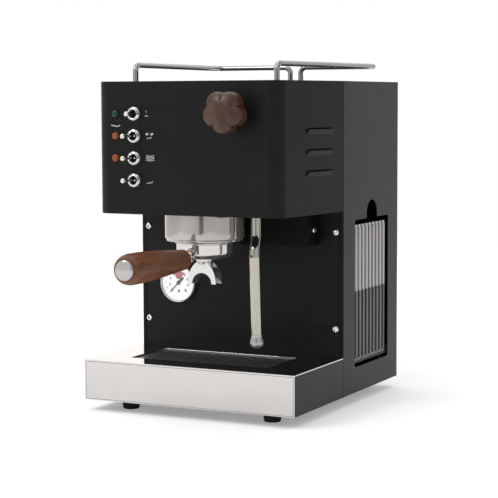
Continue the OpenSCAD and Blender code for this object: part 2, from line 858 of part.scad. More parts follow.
// Puts its children on the knob's axis
module at_knob() {
    translate([steam_x, 0, knob_z]) children();
}

// Outline of the knob: five round lobes between narrow notches, one of them at the top
function knob_radius(a) = knob_r * (1 - knob_notch + knob_notch * pow(abs(cos(2.5 * a)), 0.7));

module steam_knob() {
    color([0.3, 0.19, 0.15]) at_knob() difference() {
        translate([0, knob_back, 0]) rotate([90, 0, 0]) linear_extrude(knob_t)
            polygon([for (a = [0:3:357]) knob_radius(a) * [sin(a + 180), cos(a + 180)]]);
        rod_y(stem_r + run_gap, knob_back - knob_t + 5, knob_back + 1);
    }
}

module valve_stem() {
    color("silver") at_knob() rod_y(stem_r, knob_back - knob_t + 5.2, -head_d + 24);
}

// The bush around the stem, on the head's front
module knob_escutcheon() {
    color([0.8, 0.8, 0.82]) at_knob() difference() {
        translate([0, -head_d - 0.1, 0]) rotate([90, 0, 0]) rotate_extrude() polygon([
            [0, 0], [11, 0], [11, 1.5], [8, knob_standoff - 2], [0, knob_standoff - 2]
        ]);
        rod_y(stem_r + run_gap, -head_d - knob_standoff, -head_d + 1);
    }
}

module steam_valve() {
    y0 = -head_d + sheet + 1;
    color([0.72, 0.6, 0.36]) at_knob() difference() {
        union() {
            rod_y(10, y0, -head_d + 34);
            translate([0, -head_d + 20, -14]) post(6, 0, 14);
            translate([0, -head_d + 20, 0]) rod_x(6, -20, 0);
        }
        rod_y(stem_r + run_gap, y0 - 1, -head_d + 24.5);
    }
}

// Pipe from the valve's outlet down to the wand's joint
module steam_pipe() {
    y0 = -head_d + 20;
    top = knob_z - 14.1;
    color([0.8, 0.5, 0.35]) bent_rod([
        [steam_x, y0, top], [steam_x, y0, joint_top + 28], [steam_x, wand_y, joint_top + 16],
        [steam_x, wand_y, joint_top + 0.1]
    ], 3);
}

// The wand turns inside this gland, which is screwed to the head's floor
module wand_joint() {
    color([0.8, 0.8, 0.82]) at_wand() difference() {
        union() {
            post(9, z_floor - 5, joint_top);
            translate([0, 0, z_floor + sheet + 0.1]) cylinder(r = 12, h = 5, $fn = 6);
        }
        post(wand_r + run_gap, z_floor - 6, joint_top - 4);
        post(2, joint_top - 5, joint_top + 1);
    }
}

// Side view of the wand, as [y, z]: its two bends and the straight run that leans back below them
bend_1 = [0, bend_top - bend_r * tan(bend_a / 2)];
bend_run = bend_r * (tan(bend_a / 2) + tan((bend_a + lean_a) / 2)) + bend_straight;
bend_2 = bend_1 - bend_run * [sin(bend_a), cos(bend_a)];
lean_dir = [sin(lean_a), -cos(lean_a)];
low_l = (bend_2[1] - wand_low - tip_l * cos(lean_a)) / cos(lean_a);
bend_end = bend_2 + low_l * lean_dir;

// Puts a point of the side view into space
function lift(p) = [0, p[0], p[1]];

// Bent tube, with its kick towards -Y
module steam_wand() {
    color([0.83, 0.82, 0.8]) at_wand() rotate([0, 0, wand_turn])
        curved_rod([[0, 0, joint_top - 4.3], lift(bend_1), lift(bend_2), lift(bend_end)], wand_r, bend_r);
}

// Olive-shaped nozzle on the wand's end
module wand_tip() {
    color([0.85, 0.85, 0.87]) at_wand() rotate([0, 0, wand_turn])
        translate(lift(bend_end)) rotate([180 + lean_a, 0, 0])
        difference() {
            rotate_extrude() polygon(concat(
                [[0, 0.05], [wand_r, 0.05]],
                [for (a = [-60:15:60]) [wand_r + (tip_r - wand_r) * cos(a), 6.5 + 5 * sin(a)]],
                [for (a = [15:15:75]) [wand_r * 1.05 * cos(a), 11.5 + (tip_l - 12) * sin(a)]],
                [[0, tip_l - 0.4]]));
            cylinder(r = 0.9, h = 40, center = true, $fn = 16);
        }
}

// ---------------------------------------------------------------- controls

// A toggle lever on its upright pivot pin, thrown to the left by angle a
module toggle_lever(i, a) {
    color([0.85, 0.85, 0.87]) at_toggles([i]) translate([0, pivot_y, 0])
        rotate([0, 0, -a]) rotate([90, 0, 0]) {
        rod_y(pin_r, -pin_h / 2, pin_h / 2);
        cylinder(r1 = 1.35, r2 = 1.9, h = toggle_l);
        translate([0, 0, toggle_l]) sphere(r = 2.9);
    }
}

module toggle_lever_power() {
    toggle_lever(0, 0);
}

module toggle_lever_brew() {
    toggle_lever(1, toggle_throw);
}

module toggle_lever_steam() {
    toggle_lever(2, toggle_throw);
}

module toggle_lever_water() {
    toggle_lever(3, toggle_throw);
}

// Knurled dress nuts around the toggles
module toggle_nuts() {
    color([0.85, 0.85, 0.87]) at_toggles() translate([0, -head_d - 0.1, 0]) rotate([90, 0, 0])
        rotate_extrude() polygon([
            [bush_r + 0.1, 0], [7.4, 0], [7.4, 1.6], [6.6, 2.6], [bush_r + 0.1, 2.6]
        ]);
}

// Threaded bush and switch block behind the head's front
module toggle_bodies() {
    color([0.75, 0.75, 0.77]) at_toggles() difference() {
        union() {
            rod_y(bush_r, -head_d - bush_l, -head_d + sheet + 3.2);
            block([-8, -head_d + sheet + 3, -10], [8, -head_d + 28, 10]);
        }
        translate([0, pivot_y, 0]) rotate([90, 0, 0]) {
            sphere(r = norm([pin_r, pin_h / 2]) + 0.5);
            cylinder(r1 = 2.4, r2 = 4.9, h = bush_l);
        }
    }
}

// A domed lens with its shank through the head's front
module lamp_lens() {
    translate([0, -head_d - 0.1, 0]) rotate([90, 0, 0]) rotate_extrude() polygon(concat(
        [[0, 0], [lamp_r, 0], [lamp_r, 1]],
        [for (a = [15:15:75]) [lamp_r * cos(a), 1 + 2.6 * sin(a)]], [[0, 3.6]]));
    rod_y(lamp_r - 0.3, -head_d - 0.2, -head_d + 14);
}

module lamp_green() {
    color([0.05, 0.32, 0.33]) at_lamps([0]) lamp_lens();
}

module lamps_amber() {
    color([0.75, 0.28, 0.04]) at_lamps([1, 2]) lamp_lens();
}

// Puts its children on the gauge's axis
module at_gauge() {
    translate([gauge_x, 0, gauge_z]) children();
}

module gauge_case() {
    color([0.8, 0.8, 0.8]) at_gauge() difference() {
        union() {
            translate([0, -0.1, 0]) rotate([90, 0, 0]) rotate_extrude($fn = 96) polygon([
                [0, 0], [gauge_r, 0], [gauge_r, 4.5], [gauge_r - 1.2, 6], [0, 6]
            ]);
            rod_y(gauge_r - 2, -1, 24);
            rod_y(5, 24, 38);
        }
        rod_y(gauge_r - 1.9, -7, -1.5);
        rod_y(gauge_r - 4, -2, 22);
    }
}

module gauge_dial() {
    color([0.93, 0.93, 0.93]) at_gauge() difference() {
        rod_y(gauge_r - 2.1, -2.1, -1.5);
        rod_y(1.2, -3, 0);
    }
}

needle_l = 13.5;

// The pointer rests at the low end of its scale, down and to the left
module gauge_needle() {
    color([0.05, 0.05, 0.05]) at_gauge() {
        rod_y(0.8, -2.8, 4);
        rod_y(2, -3.4, -2.45);
        rotate([0, 225, 0]) translate([0, -2.5, 0]) rotate([90, 0, 0]) linear_extrude(0.6) polygon([
            [-0.35, needle_l], [-1.5, -7.5], [1.5, -7.5], [0.35, needle_l]
        ]);
    }
}

module gauge_lens() {
    color([0.9, 0.95, 0.97, 0.4]) at_gauge() rod_y(gauge_r - 2, -5.2, -4);
}

module control_board() {
    color([0.1, 0.35, 0.2]) translate([-inner_w + 12, 60, z_base + 150]) {
        block([0, 0, 0], [1.6, 80, 110]);
        block([1.6, 8, 10], [18, 30, 34]);
        block([1.6, 45, 12], [12, 72, 28]);
        for (i = [0:3]) block([1.6, 10 + i * 16, 60], [14, 20 + i * 16, 80]);
        for (i = [0:4]) block([1.6, 6 + i * 14, 96], [9, 16 + i * 14, 104]);
    }
}

// ---------------------------------------------------------------- inlet

inlet_w = 30;
inlet_h = 22;
inlet_x = -62;
inlet_z = z_base + 100;

// Three-pin inlet in the rear wall
module power_inlet() {
    color([0.06, 0.06, 0.06]) translate([inlet_x, case_d, inlet_z]) difference() {
        union() {
            block([-inlet_w / 2, -24, -inlet_h / 2], [inlet_w / 2, 0.1, inlet_h / 2]);
            block([-inlet_w / 2 - 3, 0.05, -inlet_h / 2 - 3], [inlet_w / 2 + 3, 1.8, inlet_h / 2 + 3]);
        }
        block([-12, -17, -8], [12, 3, 8]);
    }
    color("silver") translate([inlet_x, case_d, inlet_z]) for (x = [-7, 0, 7])
        block([x - 1, -17 - eps, (x == 0 ? 2 : -2) - 2], [x + 1, -6, (x == 0 ? 2 : -2) + 2]);
}

// ---------------------------------------------------------------- drip tray

// Corners of the grid's opening in the tray cover
grid_lo = [grid_x - grid_l / 2, -grid_back - grid_w];
grid_hi = [grid_x + grid_l / 2, -grid_back];
corner = [1, 1];

// Polished cover: a top sheet with a lipped opening, folded down into the front face
module tray_cover() {
    back = -seam - 0.2;
    lip = 1.2;
    color([0.86, 0.86, 0.87]) difference() {
        union() {
            block([-half_w, -base_d, z_tray - sheet], [half_w, back, z_tray]);
            block([-half_w, -base_d, z_base], [half_w, -base_d + sheet, z_tray]);
            translate([0, 0, z_tray - grid_lip]) linear_extrude(grid_lip)
                rounded_rect(grid_lo - lip * corner, grid_hi + lip * corner, 4);
        }
        translate([0, 0, z_tray - grid_lip - 1]) linear_extrude(grid_lip + 2)
            rounded_rect(grid_lo, grid_hi, 3);
    }
}

basin_out = 4.7;
basin_low = z_base + sheet + seam;

// Black tub under the cover, with a post in each corner that the grid stands on
module drip_basin() {
    high = z_tray - sheet - 0.1;
    lo = grid_lo - basin_out * corner;
    hi = grid_hi + basin_out * corner;
    color([0.07, 0.07, 0.07]) {
        difference() {
            translate([0, 0, basin_low]) linear_extrude(high - basin_low) rounded_rect(lo, hi, 6);
            translate([0, 0, basin_low + basin_t]) linear_extrude(high)
                rounded_rect(lo + basin_t * corner, hi - basin_t * corner, 4);
        }
        for (x = [grid_lo[0] + 4.5, grid_hi[0] - 4.5], y = [grid_lo[1] + 4.5, grid_hi[1] - 4.5])
            translate([x, y, 0]) post(2.5, basin_low + basin_t - eps, grid_low - seam);
    }
}

// Slotted black grid: rows of short slots, every second row set over by half a pitch
module drip_grid() {
    cols = floor((grid_l - 14) / (slot_l + 3.5));
    rows = floor((grid_w - 10) / (slot_w + 3.4));
    mid = (grid_lo + grid_hi) / 2;
    pitch_x = (grid_l - 12) / (cols + 0.5);
    pitch_y = (grid_w - 8) / rows;
    color([0.08, 0.08, 0.085]) translate([0, 0, grid_low]) linear_extrude(grid_t) difference() {
        rounded_rect(grid_lo + grid_gap * corner, grid_hi - grid_gap * corner, 2.4);
        for (r = [0:rows - 1], c = [0:cols - 1])
            translate(mid + [
                (c - (cols - 1) / 2 + (r % 2 == 0 ? -0.25 : 0.25)) * pitch_x, (r - (rows - 1) / 2) * pitch_y
            ]) stadium(slot_l, slot_w);
    }
}

// ---------------------------------------------------------------- water

// Open-topped tank with upright ribs on the face that shows, and an outlet spigot at its inner end
module water_tank() {
    x1 = tank_out - rib_r * 0.6;
    x0 = x1 - tank_l;
    rib_n = floor((tank_w - 8) / rib_pitch) + 1;
    spigot_z = tank_z + 14;
    color([0.75, 0.78, 0.8, 0.6]) difference() {
        union() {
            translate([0, tank_y, 0]) block([x0, -tank_w / 2, tank_z], [x1, tank_w / 2, tank_z + tank_h]);
            for (i = [0:rib_n - 1])
                translate([x1 - rib_r * 0.4, tank_y + (i - (rib_n - 1) / 2) * rib_pitch, 0])
                    post(rib_r, tank_z + 3, tank_z + tank_h - 3);
            translate([0, tank_y, spigot_z]) rod_x(spigot_r, x0 - 8, x0 + 1);
        }
        translate([0, tank_y, 0]) block([x0 + tank_t, -tank_w / 2 + tank_t, tank_z + tank_t],
            [x1 - tank_t - 1, tank_w / 2 - tank_t, tank_z + tank_h + 1]);
        translate([0, tank_y, spigot_z]) rod_x(spigot_r - 2.5, x0 - 9, x0 + tank_t + 1);
    }
}

// Shelf that the tank slides on, with a dock for its spigot
module tank_shelf() {
    x0 = tank_out - rib_r * 0.6 - tank_l;
    x1 = tank_out - 1;
    dock = x0 - 14;
    y0 = tank_y - tank_w / 2 - 0.5;
    y1 = tank_y + tank_w / 2 + 0.5;
    z1 = tank_z - seam;
    color([0.1, 0.1, 0.1]) difference() {
        union() {
            block([dock, y0 - shelf_t, z1 - shelf_t], [x1, y1 + shelf_t, z1]);
            for (y = [y0 - shelf_t, y1]) block([x0, y, z1 - eps], [x1, y + shelf_t, z1 + 6]);
            for (x = [x0 + 4, x1 - 12], y = [y0 + 4, y1 - 12])
                block([x, y, z_base + sheet + 0.1], [x + 8, y + 8, z1 - 1]);
            block([dock, tank_y - 14, z1 - eps], [x0 - 3, tank_y + 14, tank_z + 30]);
        }
        translate([0, tank_y, tank_z + 14]) rod_x(spigot_r + 0.3, x0 - 10, x0);
        translate([0, tank_y, tank_z + 14]) rod_x(3, dock - 1, x0 - 8);
    }
}

pump_x = -inner_w + 38;
pump_y = 66;
pump_z = tank_z + 14;

// Vibration pump: coil block, yoke and the two plastic ends, lying front to back
module pump() {
    color([0.25, 0.25, 0.27]) translate([pump_x, pump_y, pump_z]) difference() {
        union() {
            block([-22, -26, -22], [22, 26, 22]);
            rod_y(17, -38, 38);
            rod_y(6, -52, 52);
        }
        rod_y(2.5, -53, 53);
    }
}

// Rubber blocks between the pump and the base pan
module pump_mounts() {
    color([0.05, 0.05, 0.05]) for (y = [-17, 17]) translate([pump_x, pump_y + y, 0])
        block([-18, -7, z_base + sheet + 0.1], [18, 7, pump_z - 22.1]);
}

// Silicone hose from the tank's dock to the pump's inlet
module suction_hose() {
    dock = tank_out - rib_r * 0.6 - tank_l - 14;
    color([0.8, 0.8, 0.78]) curved_rod([
        [dock - 0.1, tank_y, pump_z], [dock - 13, tank_y, pump_z], [dock - 13, case_d - 14, pump_z],
        [pump_x, case_d - 14, pump_z], [pump_x, pump_y + 52.1, pump_z]
    ], 4, 10);
}

// Hose from the pump's outlet, up behind the back panel and forward into the boiler
module pressure_hose() {
    low = group_top + 0.1 + boiler_h * 0.2;
    lane = [gauge_x + gauge_r + 6, 7];
    color([0.85, 0.85, 0.82]) bent_rod([
        [pump_x, pump_y - 52.1, pump_z], [pump_x, lane[1], pump_z], [lane[0], lane[1], pump_z + 10],
        [lane[0], lane[1], low], [group_x, -group_y + boiler_r + 14, low],
        [group_x, -group_y + boiler_r + 0.05, low]
    ], 2.5);
}

// ---------------------------------------------------------------- assembly

// Moves a piece from the back panel's frame to the machine's origin
module placed() {
    translate([0, panel_y, 0]) children();
}

placed() base_pan();
placed() feet();
placed() casing_wrap();
placed() frame_uprights();
placed() back_panel();
placed() panel_screws();
placed() valve_housing();
placed() head_shell();
placed() head_floor();
placed() top_plate();
placed() rail_left();
placed() rail_right();
placed() casing_screws();
placed() power_inlet();
placed() group_bell();
placed() group_head();
placed() group_gasket();
placed() dispersion_block();
placed() shower_screen();
placed() shower_screw();
placed() boiler();
placed() heating_elements();
placed() solenoid_valve();
placed() portafilter_body();
placed() filter_basket();
placed() double_spout();
placed() handle_ferrule();
placed() portafilter_handle();
placed() handle_stud();
placed() handle_cap();
placed() steam_knob();
placed() valve_stem();
placed() knob_escutcheon();
placed() steam_valve();
placed() steam_pipe();
placed() wand_joint();
placed() steam_wand();
placed() wand_tip();
placed() toggle_lever_power();
placed() toggle_lever_brew();
placed() toggle_lever_steam();
placed() toggle_lever_water();
placed() toggle_nuts();
placed() toggle_bodies();
placed() lamp_green();
placed() lamps_amber();
placed() gauge_case();
placed() gauge_dial();
placed() gauge_needle();
placed() gauge_lens();
placed() control_board();
placed() tray_cover();
placed() drip_basin();
placed() drip_grid();
placed() water_tank();
placed() tank_shelf();
placed() pump();
placed() pump_mounts();
placed() suction_hose();
placed() pressure_hose();
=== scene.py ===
"""Looks of the espresso machine: fine meshes and procedural materials around the CAD frame."""
import json
import math

import bmesh
import bpy
from mathutils import Matrix, Vector

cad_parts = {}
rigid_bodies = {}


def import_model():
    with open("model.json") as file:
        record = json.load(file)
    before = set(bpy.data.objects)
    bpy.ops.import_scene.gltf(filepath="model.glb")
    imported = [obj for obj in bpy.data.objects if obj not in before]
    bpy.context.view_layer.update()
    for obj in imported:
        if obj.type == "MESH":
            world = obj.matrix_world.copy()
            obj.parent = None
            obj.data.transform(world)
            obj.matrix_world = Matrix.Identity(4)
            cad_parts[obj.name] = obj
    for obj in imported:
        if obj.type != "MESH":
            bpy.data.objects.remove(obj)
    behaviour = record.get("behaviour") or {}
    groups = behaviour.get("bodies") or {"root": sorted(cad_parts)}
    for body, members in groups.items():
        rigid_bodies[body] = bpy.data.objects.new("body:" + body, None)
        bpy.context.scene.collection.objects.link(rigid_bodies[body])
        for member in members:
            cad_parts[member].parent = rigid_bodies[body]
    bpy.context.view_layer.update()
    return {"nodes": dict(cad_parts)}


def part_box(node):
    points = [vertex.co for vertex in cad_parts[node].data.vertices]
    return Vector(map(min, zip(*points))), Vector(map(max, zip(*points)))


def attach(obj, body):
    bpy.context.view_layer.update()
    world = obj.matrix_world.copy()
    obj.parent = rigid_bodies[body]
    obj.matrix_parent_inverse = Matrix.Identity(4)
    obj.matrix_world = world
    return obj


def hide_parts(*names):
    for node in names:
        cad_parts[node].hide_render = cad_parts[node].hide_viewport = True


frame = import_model()

MM = 0.001
TAU = 2 * math.pi


# ---------------------------------------------------------------- places from the frame

def low(node):
    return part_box(node)[0]


def high(node):
    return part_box(node)[1]


def middle(node):
    return (low(node) + high(node)) / 2


PANEL_Y = low("back_panel").y
TABLE_Z = low("feet").z
CASE_Z = low("casing_wrap").z
HEAD_Y = low("head_shell").y
GROUP = middle("group_bell")
KNOB = middle("steam_knob")
GAUGE = middle("gauge_case")
LEVERS = ["toggle_lever_power", "toggle_lever_brew", "toggle_lever_steam", "toggle_lever_water"]
NUT = middle("toggle_nuts")
LEVER_Z = [middle(node).z for node in LEVERS]
LAMP_X = middle("lamp_green").x
LAMP_R = (high("lamp_green").x - low("lamp_green").x) / 2


# ---------------------------------------------------------------- camera, lights and floor

def add_camera():
    azimuth, pitch, roll = math.radians(26.53), math.radians(5.23), math.radians(-0.2)
    level = math.cos(pitch)
    back = Vector((math.sin(azimuth) * level, -math.cos(azimuth) * level, math.sin(pitch)))
    right = Vector((math.cos(azimuth), math.sin(azimuth), 0))
    up = back.cross(right)
    turned_right = right * math.cos(roll) + up * math.sin(roll)
    turned_up = up * math.cos(roll) - right * math.sin(roll)
    camera = bpy.data.objects.new("camera", bpy.data.cameras.new("camera"))
    bpy.context.scene.collection.objects.link(camera)
    axes = Matrix((turned_right, turned_up, back)).transposed().to_4x4()
    camera.matrix_world = Matrix.Translation((0.8114, PANEL_Y - 1.6031, CASE_Z + 0.322)) @ axes
    camera.data.sensor_width = 36
    camera.data.lens = 117.3
    camera.data.clip_end = 100
    bpy.context.scene.camera = camera


def add_area_light(name, place, target, size, power, colour=(1, 1, 1)):
    light = bpy.data.lights.new(name, "AREA")
    light.shape = "RECTANGLE"
    light.size, light.size_y = size
    light.energy = power
    light.color = colour
    lamp = bpy.data.objects.new(name, light)
    bpy.context.scene.collection.objects.link(lamp)
    lamp.location = place
    lamp.rotation_euler = (Vector(target) - Vector(place)).to_track_quat("-Z", "Y").to_euler()
    return lamp


# What glossy and diffuse rays meet around the object, as (bearing in degrees, brightness).
# The bearing is counted from the front towards +X.
SURROUNDINGS = [
    (-180, 1.3), (-128, 1.3), (-118, 0.85), (-60, 0.8), (-44, 0.97), (-8, 0.97), (10, 0.75), (15, 0.03),
    (23, 0.03), (27, 0.75), (70, 0.85), (104, 0.8), (108, 0.12), (122, 0.12), (127, 0.7), (140, 0.75),
    (150, 0.9), (166, 1.0), (180, 1.3)]


def add_world():
    """A white studio: plain white to the eye, with brighter and darker walls for what the metal mirrors."""
    world = bpy.data.worlds.new("studio")
    bpy.context.scene.world = world
    world.use_nodes = True
    nodes, links = world.node_tree.nodes, world.node_tree.links
    background = nodes["Background"]
    coords = nodes.new("ShaderNodeTexCoord")
    split = nodes.new("ShaderNodeSeparateXYZ")
    links.new(coords.outputs["Generated"], split.inputs[0])
    turn = nodes.new("ShaderNodeMath")
    turn.operation = "MULTIPLY"
    turn.inputs[1].default_value = -1
    links.new(split.outputs["Y"], turn.inputs[0])
    bearing = nodes.new("ShaderNodeMath")
    bearing.operation = "ARCTAN2"
    links.new(split.outputs["X"], bearing.inputs[0])
    links.new(turn.outputs[0], bearing.inputs[1])
    share = nodes.new("ShaderNodeMapRange")
    share.inputs["From Min"].default_value = -math.pi
    share.inputs["From Max"].default_value = math.pi
    links.new(bearing.outputs[0], share.inputs["Value"])
    ramp = nodes.new("ShaderNodeValToRGB")
    links.new(share.outputs[0], ramp.inputs[0])
    elements = ramp.color_ramp.elements
    while len(elements) > 1:
        elements.remove(elements[-1])
    for i, (degrees, value) in enumerate(SURROUNDINGS):
        element = elements[0] if i == 0 else elements.new((degrees + 180) / 360)
        element.position = (degrees + 180) / 360
        element.color = (value, value * 0.985, value * 0.97, 1)
    eye = nodes.new("ShaderNodeLightPath")
    mix = nodes.new("ShaderNodeMix")
    mix.data_type = "RGBA"
    links.new(eye.outputs["Is Camera Ray"], mix.inputs[0])
    links.new(ramp.outputs[0], mix.inputs[6])
    mix.inputs[7].default_value = (1, 1, 1, 1)
    links.new(mix.outputs[2], background.inputs["Color"])


def add_floor():
    """A pale table top that glows a little, so that it ends in the white around it."""
    made = bmesh.new()
    reach = 1.7
    corners = ((-1, -1), (1, -1), (1, 1), (-1, 1))
    made.faces.new([made.verts.new((x * reach, y * reach, TABLE_Z)) for x, y in corners])
    mesh = bpy.data.meshes.new("floor")
    made.to_mesh(mesh)
    made.free()
    floor = bpy.data.objects.new("floor", mesh)
    bpy.context.scene.collection.objects.link(floor)
    paper = Surface("paper", (0.82, 0.82, 0.82), 0.8, Specular_IOR_Level=0.2, Emission_Strength=0.29)
    paper.shader.inputs["Emission Color"].default_value = (1, 1, 1, 1)
    paper.bump(paper.noise(900, 3), 0.02, 0.0002)
    mesh.materials.append(paper.material)


# ---------------------------------------------------------------- materials

class Surface:
    """A principled material built up from procedural patterns in object coordinates."""

    def __init__(self, name, colour, roughness, metallic=0.0, **constants):
        self.material = bpy.data.materials.new(name)
        self.material.use_nodes = True
        self.nodes = self.material.node_tree.nodes
        self.links = self.material.node_tree.links
        self.shader = self.nodes["Principled BSDF"]
        self.shader.inputs["Base Color"].default_value = (*colour, 1)
        self.shader.inputs["Roughness"].default_value = roughness
        self.shader.inputs["Metallic"].default_value = metallic
        for socket, value in constants.items():
            self.shader.inputs[socket.replace("_", " ")].default_value = value
        self.coords = self.nodes.new("ShaderNodeTexCoord")

    def place(self, stretch=(1, 1, 1), turn=(0, 0, 0)):
        mapping = self.nodes.new("ShaderNodeMapping")
        mapping.inputs["Scale"].default_value = stretch
        mapping.inputs["Rotation"].default_value = turn
        self.links.new(self.coords.outputs["Object"], mapping.inputs["Vector"])
        return mapping.outputs["Vector"]

    def noise(self, scale, detail=2.0, roughness=0.5, distortion=0.0, **placing):
        node = self.nodes.new("ShaderNodeTexNoise")
        node.inputs["Scale"].default_value = scale
        node.inputs["Detail"].default_value = detail
        node.inputs["Roughness"].default_value = roughness
        node.inputs["Distortion"].default_value = distortion
        self.links.new(self.place(**placing), node.inputs["Vector"])
        return node.outputs["Fac"]

    def level(self, value, lowest, highest, first=0.0, last=1.0):
        node = self.nodes.new("ShaderNodeMapRange")
        node.inputs["From Min"].default_value = first
        node.inputs["From Max"].default_value = last
        node.inputs["To Min"].default_value = lowest
        node.inputs["To Max"].default_value = highest
        self.links.new(value, node.inputs["Value"])
        return node.outputs["Result"]

    def sum(self, a, b, operation="ADD"):
        node = self.nodes.new("ShaderNodeMath")
        node.operation = operation
        self.links.new(a, node.inputs[0])
        if isinstance(b, (int, float)):
            node.inputs[1].default_value = b
        else:
            self.links.new(b, node.inputs[1])
        return node.outputs[0]

    def ramp(self, value, stops):
        node = self.nodes.new("ShaderNodeValToRGB")
        elements = node.color_ramp.elements
        for i, (position, colour) in enumerate(stops):
            element = elements[i] if i < 2 else elements.new(position)
            element.position = position
            element.color = (*colour, 1)
        self.links.new(value, node.inputs["Fac"])
        return node.outputs["Color"]

    def mix(self, factor, a, b):
        node = self.nodes.new("ShaderNodeMix")
        node.data_type = "RGBA"
        for value, socket in ((factor, node.inputs[0]), (a, node.inputs[6]), (b, node.inputs[7])):
            if isinstance(value, (int, float)):
                socket.default_value = value
            elif isinstance(value, tuple):
                socket.default_value = (*value, 1)
            else:
                self.links.new(value, socket)
        return node.outputs[2]

    def colour(self, socket):
        self.links.new(socket, self.shader.inputs["Base Color"])

    def rough(self, socket, lowest, highest):
        self.links.new(self.level(socket, lowest, highest), self.shader.inputs["Roughness"])

    def bump(self, socket, strength, distance):
        node = self.nodes.new("ShaderNodeBump")
        node.inputs["Strength"].default_value = strength
        node.inputs["Distance"].default_value = distance
        self.links.new(socket, node.inputs["Height"])
        if self.shader.inputs["Normal"].is_linked:
            self.links.new(self.shader.inputs["Normal"].links[0].from_socket, node.inputs["Normal"])
        self.links.new(node.outputs["Normal"], self.shader.inputs["Normal"])


def paint(name, tone, roughness, gloss, texture=0.12):
    """Powder coat: a fine orange-peel texture, and slightly uneven gloss and tone."""
    made = Surface(name, (tone, tone, tone), roughness, Specular_IOR_Level=gloss)
    dark, light = (tone * 0.8, tone * 0.76, tone * 0.78), (tone * 1.2, tone * 1.14, tone * 1.16)
    made.colour(made.ramp(made.noise(9, 4, 0.6), [(0.3, dark), (0.7, light)]))
    made.rough(made.noise(60, 4, 0.65), roughness - 0.05, roughness + 0.07)
    made.bump(made.noise(1500, 3, 0.6), texture, 0.0003)
    return made.material


def polished(name, tone, roughness, grain, axis_stretch=(1, 1, 1)):
    """Polished metal with faint directional polishing marks and patchy gloss."""
    made = Surface(name, tone, roughness, 1.0)
    marks = made.noise(grain, 4, 0.7, stretch=axis_stretch)
    patches = made.noise(24, 3, 0.6)
    made.rough(made.sum(marks, patches, "MULTIPLY"), roughness * 0.6, roughness * 1.9)
    made.colour(made.ramp(patches, [(0.3, tuple(c * 0.95 for c in tone)), (0.7, tone)]))
    made.bump(marks, 0.03, 0.0001)
    return made.material


def walnut(name, shade, stretch, turn=(0, 0, 0), figure_size=150, gloss=0.25, coat=0.05):
    """Oiled walnut: streaks of figure, fine dark pores along the grain, and a soft sheen."""
    made = Surface(name, (0.13, 0.06, 0.035), 0.4, Coat_Weight=coat, Coat_Roughness=0.28,
                   Specular_IOR_Level=gloss)
    figure = made.noise(figure_size, 5, 0.62, 0.6, stretch=stretch, turn=turn)
    broad = made.noise(figure_size / 4, 3, 0.5, 0.8, stretch=stretch, turn=turn)
    tone = made.sum(made.sum(figure, 0.6, "MULTIPLY"), made.sum(broad, 0.4, "MULTIPLY"))
    stops = [(0.34, (0.066, 0.024, 0.012)), (0.46, (0.122, 0.047, 0.023)), (0.56, (0.168, 0.069, 0.034)),
             (0.7, (0.215, 0.1, 0.053))]
    wood = made.ramp(tone, [(at, tuple(c * shade for c in colour)) for at, colour in stops])
    pores = made.noise(figure_size * 4, 3, 0.7, stretch=stretch, turn=turn)
    pore_mask = made.level(pores, 0.0, 0.8, 0.60, 0.68)
    made.colour(made.mix(pore_mask, wood, (0.03 * shade, 0.012 * shade, 0.008 * shade)))
    made.rough(figure, 0.33, 0.5)
    made.bump(pore_mask, -0.12, 0.0002)
    made.bump(figure, 0.05, 0.0003)
    return made.material


def plastic(name, tone, roughness, texture=0.1, scale=1200, **constants):
    """Moulded plastic or rubber: a fine grain over a slightly uneven tone."""
    made = Surface(name, tone, roughness, **constants)
    darker, lighter = tuple(c * 0.85 for c in tone), tuple(min(1, c * 1.12) for c in tone)
    made.colour(made.ramp(made.noise(18, 3), [(0.3, darker), (0.7, lighter)]))
    made.rough(made.noise(90, 3), max(roughness - 0.06, 0.02), roughness + 0.06)
    made.bump(made.noise(scale, 2), texture, 0.0002)
    return made.material


def cast_metal(name, tone, roughness, metallic=1.0):
    """Plain metal with darker blotches and a sandy grain."""
    made = Surface(name, tone, roughness, metallic)
    blotches = made.noise(70, 5, 0.65)
    made.colour(made.ramp(blotches, [(0.25, tuple(c * 0.62 for c in tone)), (0.75, tone)]))
    made.rough(blotches, roughness + 0.12, roughness - 0.08)
    made.bump(made.noise(700, 4), 0.15, 0.0003)
    return made.material


def satin_chrome(name, tone, roughness, metallic):
    """Thick chrome over a cast shell, which scatters part of the light instead of mirroring it all."""
    made = Surface(name, tone, roughness, metallic)
    patches = made.noise(30, 4, 0.6)
    made.colour(made.ramp(patches, [(0.3, tuple(c * 0.94 for c in tone)), (0.7, tone)]))
    made.rough(patches, roughness * 0.7, roughness * 1.4)
    made.bump(made.noise(500, 3), 0.02, 0.0001)
    return made.material


